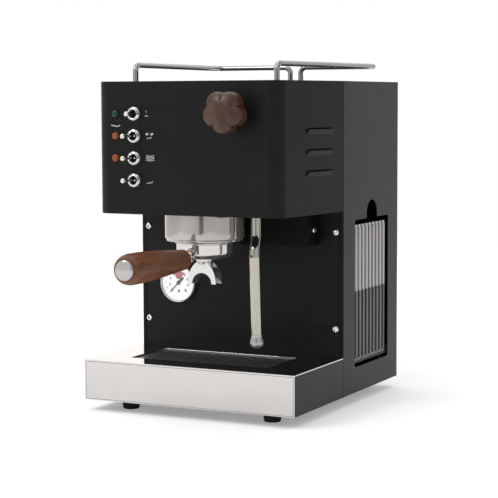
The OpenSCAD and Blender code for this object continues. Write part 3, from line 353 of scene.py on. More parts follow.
def tank_plastic():
    """Smoky ribbed polycarbonate: painted highlights and painted shade in streaks down its ribs, darker below
    the water line.
    """
    made = Surface("clear_plastic", (0.4, 0.4, 0.41), 0.16, Specular_IOR_Level=0.25,
                   Coat_Weight=0.05, Coat_Roughness=0.08)
    rib_pitch = 10 * MM
    place = made.nodes.new("ShaderNodeSeparateXYZ")
    made.links.new(made.coords.outputs["Object"], place.inputs[0])
    water_line = (low("water_tank").z + high("water_tank").z) / 2 + 2.5 * MM
    dry_share = made.level(place.outputs["Z"], 0.0, 1.0, water_line - 1 * MM, water_line + 1 * MM)
    steps = made.sum(made.sum(place.outputs["Y"], -middle("water_tank").y), 1 / rib_pitch, "MULTIPLY")
    # Painted highlights and painted shade: a cosine across the ribs makes their crests bright and their
    # grooves dark.
    rib_highlight_wave = made.sum(made.sum(steps, math.pi * 2, "MULTIPLY"), 0, "COSINE")
    haze = made.noise(40, 4, 0.6, stretch=(1, 1, 0.2))
    rib_highlight_and_haze = made.sum(rib_highlight_wave, made.sum(haze, 0.5, "MULTIPLY"))
    share = made.level(rib_highlight_and_haze, 0, 1, -0.8, 1.3)
    # Both ramps paint the rib highlights over the smoky tone; the wet one is darker, for the water below the
    # line.
    dry = made.ramp(share, [
        (0.22, (0.02, 0.018, 0.018)), (0.5, (0.25, 0.24, 0.24)), (0.9, (0.54, 0.53, 0.525))])
    wet = made.ramp(share, [
        (0.3, (0.004, 0.004, 0.004)), (0.66, (0.008, 0.008, 0.009)), (0.9, (0.15, 0.146, 0.146))])
    made.colour(made.mix(dry_share, wet, dry))
    made.rough(haze, 0.12, 0.26)
    made.bump(made.noise(300, 2), 0.04, 0.0002)
    return made.material


def lamp_lens(name, tone, glow):
    """Moulded lens with small facets inside, lit a little from behind."""
    made = Surface(name, tone, 0.15, Coat_Weight=0.15, Coat_Roughness=0.05, Specular_IOR_Level=0.3)
    facets = made.nodes.new("ShaderNodeTexVoronoi")
    facets.inputs["Scale"].default_value = 900
    made.links.new(made.place(), facets.inputs["Vector"])
    shade = made.level(facets.outputs["Distance"], 0.0, 1.0, 0.0, 0.6)
    made.colour(made.mix(shade, tone, tuple(c * 0.35 for c in tone)))
    made.bump(facets.outputs["Distance"], 0.15, 0.0002)
    made.shader.inputs["Emission Color"].default_value = (*tone, 1)
    made.shader.inputs["Emission Strength"].default_value = glow
    return made.material


def circuit_board():
    made = Surface("circuit_board", (0.03, 0.2, 0.09), 0.35)
    tracks = made.nodes.new("ShaderNodeTexBrick")
    tracks.inputs["Scale"].default_value = 160
    made.links.new(made.place(turn=(0, math.pi / 2, 0)), tracks.inputs["Vector"])
    tracks.inputs["Color1"].default_value = (0.02, 0.16, 0.07, 1)
    tracks.inputs["Color2"].default_value = (0.03, 0.22, 0.1, 1)
    tracks.inputs["Mortar"].default_value = (0.10, 0.34, 0.12, 1)
    made.colour(tracks.outputs["Color"])
    made.bump(tracks.outputs["Fac"], 0.2, 0.0002)
    return made.material


def gauge_glass():
    """Thin clear glass: seen through, with a faint gloss of its own."""
    made = Surface("lens_glass", (0.9, 0.92, 0.93), 0.03, Alpha=0.08, Specular_IOR_Level=0.5)
    made.rough(made.noise(50, 2), 0.02, 0.05)
    return made.material


def make_materials():
    return {
        "black_paint": paint("black_paint", 0.006, 0.43, 0.155),
        "casing_paint": paint("casing_paint", 0.007, 0.33, 0.125),
        "panel_paint": paint("panel_paint", 0.0030, 0.5, 0.21),
        "housing_paint": paint("housing_paint", 0.0038, 0.5, 0.11),
        "polished_steel": polished("polished_steel", (0.58, 0.56, 0.555), 0.06, 260, (0.02, 1, 1)),
        "chrome": polished("chrome", (0.74, 0.73, 0.725), 0.045, 420),
        "bell_chrome": satin_chrome("bell_chrome", (0.45, 0.43, 0.42), 0.06, 0.66),
        "bowl_chrome": satin_chrome("bowl_chrome", (0.62, 0.61, 0.6), 0.07, 0.88),
        "rail_chrome": satin_chrome("rail_chrome", (0.36, 0.36, 0.365), 0.12, 0.8),
        "wand_steel": polished("wand_steel", (0.44, 0.415, 0.375), 0.09, 500, (1, 1, 0.03)),
        "screw_steel": polished("screw_steel", (0.7, 0.69, 0.67), 0.16, 900),
        "zinc_steel": cast_metal("zinc_steel", (0.55, 0.55, 0.56), 0.38),
        "brass": cast_metal("brass", (0.72, 0.5, 0.22), 0.32),
        "copper": cast_metal("copper", (0.75, 0.36, 0.22), 0.28),
        "black_rubber": plastic("black_rubber", (0.012, 0.012, 0.012), 0.75, 0.25, 700,
                                Specular_IOR_Level=0.2),
        "walnut": walnut("walnut", 0.98, (1, 0.12, 1)),
        "knob_walnut": walnut("knob_walnut", 0.42, (1.0, 0.6, 0.35), (0, 0.9, 0), 110, 0.2, 0.4),
        "black_plastic": plastic("black_plastic", (0.012, 0.012, 0.013), 0.5, Specular_IOR_Level=0.3),
        "grid_paint": paint("grid_paint", 0.045, 0.36, 0.5),
        "clear_plastic": tank_plastic(),
        "lens_glass": gauge_glass(),
        "green_lens": lamp_lens("green_lens", (0.004, 0.06, 0.065), 0.03),
        "amber_lens": lamp_lens("amber_lens", (0.44, 0.1, 0.0), 0.04),
        # The dial's glow (Emission Strength 0.45) is painted light that brightens the white dial behind its
        # window.
        "dial_white": plastic("dial_white", (0.86, 0.855, 0.87), 0.45, 0.03, Emission_Strength=0.45),
        "dial_red": plastic("dial_red", (0.62, 0.13, 0.16), 0.45, 0.03),
        "dial_grey": plastic("dial_grey", (0.06, 0.06, 0.065), 0.45, 0.03),
        "pointer_black": plastic("pointer_black", (0.014, 0.014, 0.014), 0.4, 0.05),
        # A dark grey for the painted reflection line along the tray front's bend.
        "fold_grey": cast_metal("fold_grey", (0.12, 0.115, 0.11), 0.4, 0.3),
        "print_white": plastic("print_white", (0.42, 0.42, 0.42), 0.55, 0.05),
        "circuit_board": circuit_board(),
        "silicone": plastic("silicone", (0.62, 0.61, 0.57), 0.4, 0.06, Subsurface_Weight=0.1),
    }


# ---------------------------------------------------------------- mesh helpers

def smooth(mesh, angle=32):
    mesh.shade_smooth()
    mesh.set_sharp_from_angle(angle=math.radians(angle))


def new_piece(name, made, body, slot, material=None, replaced=()):
    """Turns a bmesh into a piece that rides on a body and has a material."""
    bmesh.ops.recalc_face_normals(made, faces=made.faces)
    mesh = bpy.data.meshes.new(name)
    made.to_mesh(mesh)
    made.free()
    smooth(mesh)
    piece = bpy.data.objects.new(name, mesh)
    bpy.context.scene.collection.objects.link(piece)
    mesh.materials.append(MATERIALS[material or slot])
    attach(piece, body)
    if replaced:
        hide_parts(*replaced)
    return piece


def upright(x, y, z):
    return Matrix.Translation((x, y, z))


def frontward(x, y, z):
    """Places a lathe's axis so that it points out of the machine's front."""
    return Matrix.Translation((x, y, z)) @ Matrix(((1, 0, 0, 0), (0, 0, -1, 0), (0, 1, 0, 0), (0, 0, 0, 1)))


def along(start, end):
    """Places a lathe's axis from start towards end."""
    turn = (Vector(end) - Vector(start)).to_track_quat("Z", "X")
    return Matrix.Translation(start) @ turn.to_matrix().to_4x4()


def rounded(points, radius, steps=5):
    """A profile whose inner corners are replaced by arcs. A point may give its own radius."""
    made = [Vector(points[0][:2])]
    for i in range(1, len(points) - 1):
        corner = Vector(points[i][:2])
        before = Vector(points[i - 1][:2]) - corner
        after = Vector(points[i + 1][:2]) - corner
        size = points[i][2] if len(points[i]) > 2 else radius
        half = before.angle(after) / 2
        reach = min(size / math.tan(half), before.length * 0.48, after.length * 0.48) if size else 0
        if reach < 1e-7:
            made.append(corner)
            continue
        u, v = before.normalized(), after.normalized()
        size = reach * math.tan(half)
        centre = corner + (u + v).normalized() * size / math.sin(half)
        first, last = corner + u * reach - centre, corner + v * reach - centre
        sweep = first.angle(last)
        for k in range(steps + 1):
            share = k / steps
            turned = first * math.sin((1 - share) * sweep) + last * math.sin(share * sweep)
            made.append(centre + turned / math.sin(sweep))
    made.append(Vector(points[-1][:2]))
    return [tuple(p) for p in made]


def hexagon(radius, angle):
    """Distance from the middle of a hexagon to its edge; radius is across the flats."""
    return radius / math.cos((angle + math.pi / 6) % (math.pi / 3) - math.pi / 6)


def add_lathe(made, profile, place, segments=96):
    """Adds a solid of revolution from (radius, height) points in millimetres.

    A third value of 1 makes the solid a hexagon at that point.
    """
    rings = []
    for radius, height, *six in profile:
        if radius < 1e-6:
            rings.append([made.verts.new(place @ Vector((0, 0, height * MM)))])
            continue
        ring = []
        for angle in (TAU * k / segments for k in range(segments)):
            reach = hexagon(radius, angle) if six else radius
            spot = Vector((reach * math.cos(angle), reach * math.sin(angle), height)) * MM
            ring.append(made.verts.new(place @ spot))
        rings.append(ring)
    for a, b in zip(rings, rings[1:]):
        if len(a) == 1 and len(b) == 1:
            continue
        for k in range(segments):
            n = (k + 1) % segments
            if len(a) == 1:
                made.faces.new((a[0], b[n], b[k]))
            elif len(b) == 1:
                made.faces.new((a[k], a[n], b[0]))
            else:
                made.faces.new((a[k], a[n], b[n], b[k]))
    if len(rings[0]) > 1 and profile[0] == profile[-1]:
        bmesh.ops.remove_doubles(made, verts=rings[0] + rings[-1], dist=1e-7)


def add_tube(made, path, radii, side=Vector((1, 0, 0)), sides=32):
    """Adds a round solid along path, with its own radius at each point."""
    rings = []
    for i, (point, radius) in enumerate(zip(path, radii)):
        ahead = (path[min(i + 1, len(path) - 1)] - path[max(i - 1, 0)]).normalized()
        across = (side - ahead * side.dot(ahead)).normalized()
        up = ahead.cross(across)
        rings.append([made.verts.new(point + across * a + up * b) for a, b in circle(radius, sides)])
    for a, b in zip(rings, rings[1:]):
        for k in range(sides):
            n = (k + 1) % sides
            made.faces.new((a[k], a[n], b[n], b[k]))
    made.faces.new(rings[0])
    made.faces.new(rings[-1])


def circle(radius, count=32):
    return [(radius * math.cos(TAU * k / count), radius * math.sin(TAU * k / count)) for k in range(count)]


def add_prism(made, outline, place, depth):
    """Adds a flat outline in metres, extruded by depth along the place's z axis."""
    lower = [made.verts.new(place @ Vector((x, y, 0))) for x, y in outline]
    upper = [made.verts.new(place @ Vector((x, y, depth))) for x, y in outline]
    made.faces.new(lower)
    made.faces.new(upper)
    for k in range(len(outline)):
        n = (k + 1) % len(outline)
        made.faces.new((lower[k], lower[n], upper[n], upper[k]))


# ---------------------------------------------------------------- the CAD nodes that stay

def meshes(node):
    """The mesh objects that a CAD node consists of."""
    piece = frame["nodes"][node]
    parts = [piece] if piece.type == "MESH" else piece.children_recursive
    return [part for part in parts if part.type == "MESH"]


def finish_cad_node(node, material, edge=0.35 * MM):
    """Gives a CAD node its material, and small bevels that catch the light along its edges."""
    for part in meshes(node):
        part.data.materials.clear()
        part.data.materials.append(MATERIALS[material])
        weld = part.modifiers.new("weld", "WELD")
        weld.merge_threshold = 1e-6
        if edge:
            bevel = part.modifiers.new("edges", "BEVEL")
            bevel.width = edge
            bevel.segments = 2
            bevel.limit_method = "ANGLE"
            bevel.angle_limit = math.radians(40)
            bevel.harden_normals = True


STAYING = {
    "black_paint": ["head_shell", "head_floor"],
    "casing_paint": ["casing_wrap", "base_pan", "top_plate"],
    "panel_paint": ["back_panel"],
    "housing_paint": ["valve_housing"],
    "polished_steel": ["tray_cover"],
    "grid_paint": ["drip_grid"],
    "rail_chrome": ["rail_left", "rail_right"],
    "chrome": ["knob_escutcheon", "wand_joint"],
    "bowl_chrome": ["double_spout"],
    "wand_steel": ["filter_basket", "shower_screen", "valve_stem", "heating_elements"],
    "screw_steel": ["shower_screw", "handle_stud"],
    "zinc_steel": ["frame_uprights"],
    "brass": ["group_head", "dispersion_block", "boiler", "steam_valve"],
    "copper": ["steam_pipe"],
    "black_rubber": ["group_gasket", "pump_mounts"],
    "black_plastic": ["drip_basin", "tank_shelf", "power_inlet", "solenoid_valve", "pump", "toggle_bodies"],
    "clear_plastic": ["water_tank"],
    "circuit_board": ["control_board"],
    "silicone": ["suction_hose", "pressure_hose"],
}
PLAIN_EDGES = {"rail_left", "rail_right", "control_board", "suction_hose", "pressure_hose", "steam_pipe",
               "shower_screen", "filter_basket", "heating_elements", "drip_grid"}


def islands(node):
    """The lowest and highest corner of each separate solid in a CAD node."""
    made = bmesh.new()
    for part in meshes(node):
        copy = part.data.copy()
        copy.transform(part.matrix_world)
        made.from_mesh(copy)
        bpy.data.meshes.remove(copy)
    bmesh.ops.remove_doubles(made, verts=made.verts, dist=1e-6)
    left, found = set(made.verts), []
    while left:
        stack = [left.pop()]
        reached = set(stack)
        while stack:
            vert = stack.pop()
            near = {edge.other_vert(vert) for edge in vert.link_edges} & left
            left -= near
            reached |= near
            stack.extend(near)
        found.append([Vector([pick(v.co[i] for v in reached) for i in range(3)]) for pick in (min, max)])
    made.free()
    return sorted(found, key=lambda box: tuple(round(c, 4) for c in box[0]))


# ---------------------------------------------------------------- steam knob and portafilter

def knob_radius(angle):
    """Five round lobes between shallow notches, with a notch at the top. The largest radius is 1."""
    return 0.79 + 0.21 * abs(math.cos(2.5 * angle)) ** 0.66


def make_steam_knob():
    """The walnut knob: its lobed outline with rounded edges and a domed front."""
    steps = 200
    angles = [TAU * k / steps for k in range(steps)]
    width = high("steam_knob").x - low("steam_knob").x
    size = width / 2 / max(knob_radius(a) * abs(math.sin(a)) for a in angles)
    back, thick = high("steam_knob").y, high("steam_knob").y - low("steam_knob").y
    middle_z = low("steam_knob").z + size
    edge, domed = 4.6 * MM, 2.6 * MM
    arc = [math.radians(a) for a in range(0, 91, 10)]
    rows = [(edge * 0.5 * (1 - math.cos(a)), edge * 0.5 * (1 - math.sin(a))) for a in arc[::-1]]
    rows += [(edge * (1 - math.cos(a)), thick - domed - edge * (1 - math.sin(a))) for a in arc]
    rows += [(edge + (size * 0.7 - edge) * t, thick - domed * (1 - math.sin(t * math.pi / 2)))
             for t in (0.15, 0.35, 0.6, 0.85)]
    made = bmesh.new()
    rings = []
    for inset, depth in rows:
        share = 1 - inset / size
        ring = []
        for angle in angles:
            notch_fill = 0.5 * max(inset - edge, 0) / size
            radius = size * (knob_radius(angle) * share + notch_fill * (1 - knob_radius(angle)))
            across, down = radius * math.sin(angle), radius * math.cos(angle)
            ring.append(made.verts.new((KNOB.x - across, back - depth, middle_z - down)))
        rings.append(ring)
    for a, b in zip(rings, rings[1:]):
        for k in range(steps):
            n = (k + 1) % steps
            made.faces.new((a[k], a[n], b[n], b[k]))
    made.faces.new(rings[0])
    tip = made.verts.new((KNOB.x, back - thick, middle_z))
    for k in range(steps):
        made.faces.new((rings[-1][k], rings[-1][(k + 1) % steps], tip))
    new_piece("knob_lobed", made, "steam_control", "walnut", "knob_walnut", ["steam_knob"])


def make_handle():
    """Walnut handle with its chrome end cap and the collar at its root."""
    x, y = GROUP.x, GROUP.y
    handle_lo, handle_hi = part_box("portafilter_handle")
    place = frontward(x, y, (handle_lo.z + handle_hi.z) / 2)
    start, reach = (y - handle_hi.y) / MM, (y - low("handle_cap").y) / MM
    radius = (handle_hi.x - handle_lo.x) / 2 / MM
    cap = (high("handle_cap").x - low("handle_cap").x) / 2 / MM
    root, end = 10.9, reach - 2

    made = bmesh.new()
    body = [(0, start), (root - 1.3, start), (root, start + 1.3)]
    for t in (i / 14 for i in range(1, 15)):
        swell = math.sin(math.pi / 2 * t) ** 1.15
        body.append((root + (radius - root) * swell, start + 2 + (end - 16 - start) * t))
    for a in (math.radians(a) for a in range(10, 91, 10)):
        body.append((cap + 0.8 + (radius - cap - 0.8) * math.cos(a), end - 13.6 + 12.4 * math.sin(a)))
    body += [(cap + 0.25, end - 1.1), (cap + 0.2, end - 1.6), (0, end - 1.6)]
    add_lathe(made, body, place, 128)
    new_piece("handle_walnut", made, "portafilter", "walnut", None, ["portafilter_handle"])

    made = bmesh.new()
    profile = rounded([(0, end - 1.5), (cap, end - 1.5), (cap, end + 0.4, 0.9), (cap - 1.6, end + 1.1, 1.5),
                       (0, reach)], 0.8)
    add_lathe(made, profile, place)
    new_piece("handle_end_cap", made, "portafilter", "chrome", "bell_chrome", ["handle_cap"])

    made = bmesh.new()
    first, last = (y - high("handle_ferrule").y) / MM, (y - low("handle_ferrule").y) / MM
    outer = (high("handle_ferrule").x - low("handle_ferrule").x) / 2 / MM
    profile = rounded([
        (0, last), (0, first), (outer - 1.6, first), (outer, first + 1.4), (outer, last - 2.2),
        (outer - 0.8, last - 1.8), (outer - 0.8, last - 1.2), (outer, last - 0.8), (outer - 0.2, last),
        (0, last)], 0.35)
    add_lathe(made, profile, place)
    new_piece("handle_collar", made, "portafilter", "chrome", None, ["handle_ferrule"])


def make_bowl():
    """The portafilter's bowl with its rim, two ears and the bent neck that carries the handle."""
    x, y = GROUP.x, GROUP.y
    bowl_lo, bowl_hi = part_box("portafilter_body")
    base, top, lip = bowl_lo.z / MM, bowl_hi.z / MM, low("group_bell").z / MM
    bowl, rim, floor = 30.4, (bowl_hi.x - bowl_lo.x) / 2 / MM - 2.4, base + 7
    made = bmesh.new()
    profile = rounded([
        (4.5, base), (9.3, base), (9.3, base + 3.6, 0.6), (bowl - 5.0, base + 4.0, 1.5),
        (bowl, base + 9.0, 4.0), (bowl, lip - 3.4, 0.5), (bowl + 1.2, lip - 2.7, 0.5),
        (bowl + 1.2, lip - 1.4, 0.5), (bowl, lip - 0.8, 0.3),
        (bowl, lip + 3.5), (rim, lip + 3.6), (rim, top, 0.6), (28.9, top, 0.4), (28.9, floor + 5, 1),
        (27, floor, 1), (4.5, floor, 0.5), (4.5, base)], 0.8)
    add_lathe(made, profile, upright(x, y, 0), 128)
    for ear in (0, math.pi):
        angles = [ear + math.radians(a) for a in range(-20, 21, 4)]
        outer, inner = (rim + 2.4) * MM, (rim - 0.4) * MM
        outline = [(outer * math.cos(a), outer * math.sin(a)) for a in angles]
        outline += [(inner * math.cos(a), inner * math.sin(a)) for a in reversed(angles)]
        add_prism(made, outline, upright(x, y, (lip + 5.3) * MM), 3.2 * MM)
    new_piece("portafilter_bowl", made, "portafilter", "chrome", "bowl_chrome", ["portafilter_body"])

    made = bmesh.new()
    axis_z = (low("portafilter_handle").z + high("portafilter_handle").z) / 2 / MM
    bend = [(25, base + 11.5, 6.6), (29, base + 10.5, 6.3), (33, base + 8.3, 5.8), (36.5, base + 5.8, 5.4),
            (40, axis_z + 1.6, 5.3), (43.5, axis_z + 0.25, 5.4), (47.2, axis_z, 5.5)]
    path = [Vector((x, y - out * MM, z * MM)) for out, z, _ in bend]
    add_tube(made, path, [size * MM for _, _, size in bend])
    new_piece("portafilter_neck", made, "portafilter", "chrome")


def make_group_bell():
    lo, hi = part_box("group_bell")
    radius, tall = (hi.x - lo.x) / 2 / MM, (hi.z - lo.z) / MM
    made = bmesh.new()
    profile = rounded([(radius - 1.5, tall), (radius - 1.5, 0.0, 0.4), (radius - 3, 0.0, 0.4),
                       (radius, 3.0, 1.6), (radius, tall), (radius - 1.5, tall)], 0.8)
    add_lathe(made, profile, upright(GROUP.x, GROUP.y, lo.z), 160)
    new_piece("bell_shell", made, "root", "chrome", "bell_chrome", ["group_bell"])


def vertices(node):
    """Every vertex of a CAD node, in the shared frame."""
    return [part.matrix_world @ vertex.co for part in meshes(node) for vertex in part.data.vertices]


# The wand's shape: its turn about the joint, the kick of its first bend, the lean of its long run, in
# radians, then its bends' radius and the straight between them in millimetres
WAND_TURN, WAND_KICK, WAND_LEAN = (math.radians(angle) for angle in (15, 35, 7))
WAND_BEND, WAND_STRAIGHT = 20, 4


def make_wand():
    """The bent tube in one smooth sweep, and the bulb at its end, in line with the tube's lean."""
    ahead = Vector((-math.sin(WAND_TURN), math.cos(WAND_TURN), 0))
    axis = ahead * math.sin(WAND_LEAN) - Vector((0, 0, math.cos(WAND_LEAN)))
    spots = sorted(vertices("wand_tip"), key=lambda spot: spot.dot(axis))
    first = [spot for spot in spots if spot.dot(axis) < spots[0].dot(axis) + 0.05 * MM]
    root = sum(first, Vector()) / len(first)
    neck = max((spot - root).length for spot in first) / MM
    radius = max((spot - root - axis * (spot - root).dot(axis)).length for spot in spots) / MM
    length = (spots[-1] - root).dot(axis) / MM

    joint = middle("wand_joint")
    end_y, end_z = (root - joint).dot(ahead) / MM, root.z / MM
    tangents = math.tan(WAND_KICK / 2) + math.tan((WAND_KICK + WAND_LEAN) / 2)
    run = WAND_BEND * tangents + WAND_STRAIGHT
    low_y = -run * math.sin(WAND_KICK)
    low_z = end_z + (end_y - low_y) / math.tan(WAND_LEAN)
    side_view = rounded([
        (0, high("steam_wand").z / MM), (0, low_z + run * math.cos(WAND_KICK), WAND_BEND),
        (low_y, low_z, WAND_BEND), (end_y, end_z)], WAND_BEND, 16)
    path = [Vector((joint.x, joint.y, z * MM)) + ahead * y * MM for y, z in side_view]
    made = bmesh.new()
    add_tube(made, path, [neck * MM] * len(path), sides=64)
    new_piece("wand_tube", made, "wand", "wand_steel", None, ["steam_wand"])

    widest = length * 0.62
    profile = [(0, 0.02), (neck - 0.3, 0.02), (neck, 0.3), (neck, 1.0)]
    for t in (i / 12 for i in range(1, 13)):
        profile.append((neck + (radius - neck) * (1 - math.cos(math.pi * t)) / 2, 1.0 + (widest - 1.0) * t))
    for a in (math.radians(a) for a in range(6, 85, 6)):
        profile.append((radius * math.cos(a), widest + (length - widest) * math.sin(a)))
    profile += [(0.8, length * 0.995), (0.7, length - 1.5), (0, length - 1.5)]
    made = bmesh.new()
    add_lathe(made, profile, along(root, root + axis), 64)
    new_piece("wand_nozzle", made, "wand", "chrome", "bell_chrome", ["wand_tip"])


# ---------------------------------------------------------------- controls

def make_toggles():
    """The four switch levers, each with a ball on its end, and the rings around them."""
    bodies = ["toggle_power", "toggle_brew", "toggle_steam", "toggle_water"]
    ball = 2.9
    for node, body in zip(LEVERS, bodies):
        lo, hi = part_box(node)
        pivot = Vector((NUT.x, HEAD_Y - 1 * MM, (lo.z + hi.z) / 2))
        straight = hi.x - lo.x < 2.2 * ball * MM
        tip = Vector((pivot.x if straight else lo.x + ball * MM, lo.y + ball * MM, pivot.z))
        length = (tip - pivot).length / MM
        profile = [(0, -2.3), (1.2, -2.0), (2.1, -1.0), (2.3, 0), (2.1, 1.0), (1.3, 2.0), (1.15, 4.5),
                   (1.35, length - 5.0), (1.5, length - 3.2)]
        profile += [(ball * math.sin(math.radians(a)), length - ball * math.cos(math.radians(a)))
                    for a in range(35, 180, 10)]
        profile.append((0, length + ball))
        made = bmesh.new()
        add_lathe(made, profile, along(pivot, tip), 40)
        new_piece(node + "_arm", made, body, "chrome", None, [node])
    outer = (high("toggle_nuts").x - low("toggle_nuts").x) / 2 / MM
    made = bmesh.new()
    for z in LEVER_Z:
        ring = rounded([(5.7, 0), (outer, 0), (outer, 3.6, 0.5), (outer - 0.7, 4.6, 0.5), (5.2, 5.3, 0.4),
                        (4.6, 5.0, 0.2), (4.6, 4.6), (5.7, 4.6), (5.7, 0)], 0.2)
        add_lathe(made, ring, frontward(NUT.x, HEAD_Y, z), 72)
    new_piece("toggle_rings", made, "root", "chrome", "bowl_chrome", ["toggle_nuts"])


def make_lamps():
    """Domed lamp lenses: one green beside the top switch, two amber beside the next ones."""
    for name, slot, node, rows in (("green_lamp", "green_lens", "lamp_green", LEVER_Z[:1]),
                                   ("amber_lamps", "amber_lens", "lamps_amber", LEVER_Z[1:3])):
        made = bmesh.new()
        radius = LAMP_R / MM
        profile = [(0, -14), (radius - 0.4, -14), (radius - 0.4, 0.05), (radius, 0.05)]
        profile += [(radius * math.cos(math.radians(a)), 0.9 + 2.6 * math.sin(math.radians(a)))
                    for a in range(0, 90, 9)]
        for z in rows:
            add_lathe(made, profile + [(0, 3.5)], frontward(LAMP_X, HEAD_Y, z), 48)
        new_piece(name, made, "root", slot, None, [node])


def add_ribbon(made, points, width, surface_y, closed=False):
    """Adds a thin flat line through (x, z) points, a hair in front of a surface, with mitred corners."""
    spots = [Vector((x, surface_y, z)) for x, z in points]
    count = len(spots)
    rows = []
    for i, spot in enumerate(spots):
        before = spots[(i - 1) % count] if closed or i else None
        after = spots[(i + 1) % count] if closed or i < count - 1 else None
        ways = [(b - a).normalized() for a, b in ((before, spot), (spot, after)) if a and b]
        ahead = sum(ways, Vector()).normalized()
        side = Vector((-ahead.z, 0, ahead.x)) * width / 2 / max(ahead.dot(ways[0]), 0.4)
        if not closed and i in (0, count - 1):
            spot = spot + ahead * width / 2 * (1 if i else -1)
        thin = Vector((0, 0.06 * MM, 0))
        corners = (spot + side, spot - side, spot - side + thin, spot + side + thin)
        rows.append([made.verts.new(corner) for corner in corners])
    for a, b in zip(rows, rows[1:] + rows[:1] if closed else rows[1:]):
        for k in range(4):
            n = (k + 1) % 4
            made.faces.new((a[k], a[n], b[n], b[k]))
    if not closed:
        made.faces.new(rows[0])
        made.faces.new(rows[-1])


def make_tray_bend_reflection():
    """A painted dark reflection line where the tray's front sheet bends round, just inside its edges."""
    lo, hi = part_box("tray_cover")
    inset = 1.3 * MM
    made = bmesh.new()
    corners = [(lo.x + inset, lo.z + inset), (hi.x - inset, lo.z + inset), (hi.x - inset, hi.z - inset * 1.4),
               (lo.x + inset, hi.z - inset * 1.4)]
    add_ribbon(made, corners, 0.4 * MM, lo.y - 0.08 * MM, closed=True)
    new_piece("tray_fold_line", made, "tray", "polished_steel", "fold_grey")


def make_icons():
    """Small white signs beside the switches: power, brewing, steam and water."""
    made = bmesh.new()
    plane, left = HEAD_Y - 0.1 * MM, NUT.x
    power, brew, steam, water = LEVER_Z

    def draw(x, z, points, width):
        add_ribbon(made, [(left + (x + a) * MM, z + b * MM) for a, b in points], width * MM, plane)

    draw(14, power, [(-1.4, -2.4), (0.2, -2.0), (1.6, -2.6)], 0.8)
    draw(14, power, [(0, 1.6), (0, 3.2)], 0.5)
    for bean in (14.6, 20.4):
        draw(bean, brew, [(-0.5, 1.8), (0.5, 2.1)], 2.2)
    draw(17.5, brew, [(-2.3, -2.4), (-1.5, -2.4)], 1.2)
    draw(17.5, brew, [(0.9, -2.2), (1.9, -1.7)], 1.2)
    for row in range(4):
        wave = [(0.9 * t - 4.5, 2.4 - 1.6 * row + 0.4 * math.sin(t * 0.85 + 0.6)) for t in range(11)]
        draw(18.2, steam, wave, 0.75)
    draw(18, water, [(-3.6, -2.8), (-0.4, -2.8), (1.6, -1.9)], 0.9)
    draw(18, water, [(1.6, -2.4), (2.8, -1.6)], 0.9)
    bar = brew + (power - brew) * 0.45
    draw(LAMP_X / MM - left / MM, bar, [(-5.0, 0.6), (-1.2, 0.1), (1.8, -0.6), (5.0, 0.4)], 1.1)
    new_piece("switch_signs", made, "root", "black_paint", "print_white")


# ---------------------------------------------------------------- pressure gauge

def polar(angle, radius):
    """A place on the dial: degrees clockwise from the top."""
    return radius * math.sin(math.radians(angle)), radius * math.cos(math.radians(angle))


def add_bar(made, angle, inner, outer, width, plane):
    """Adds one mark of the scale, from an inner to an outer radius."""
    points = [(GAUGE.x + a * MM, GAUGE.z + b * MM) for a, b in (polar(angle, inner), polar(angle, outer))]
    add_ribbon(made, points, width * MM, plane)


def add_digits(made, text, x, z, size, plane):
    """Adds a number as seven-stroke digits."""
    strokes = {"a": ((0, 2), (1, 2)), "b": ((1, 2), (1, 1)), "c": ((1, 1), (1, 0)), "d": ((0, 0), (1, 0)),
               "e": ((0, 1), (0, 0)), "f": ((0, 2), (0, 1)), "g": ((0, 1), (1, 1))}
    shapes = {"0": "abcdef", "1": "bc", "2": "abged", "4": "fgbc", "6": "afgedc", "8": "abcdefg"}
    start = x - (len(text) - 1) * size * 0.85
    for i, digit in enumerate(text):
        for stroke in shapes[digit]:
            ends = [(GAUGE.x + (start + (i * 1.6 + a - 0.5) * size) * MM, GAUGE.z + (z + (b - 1) * size) * MM)
                    for a, b in strokes[stroke]]
            add_ribbon(made, ends, 0.6 * MM, plane)


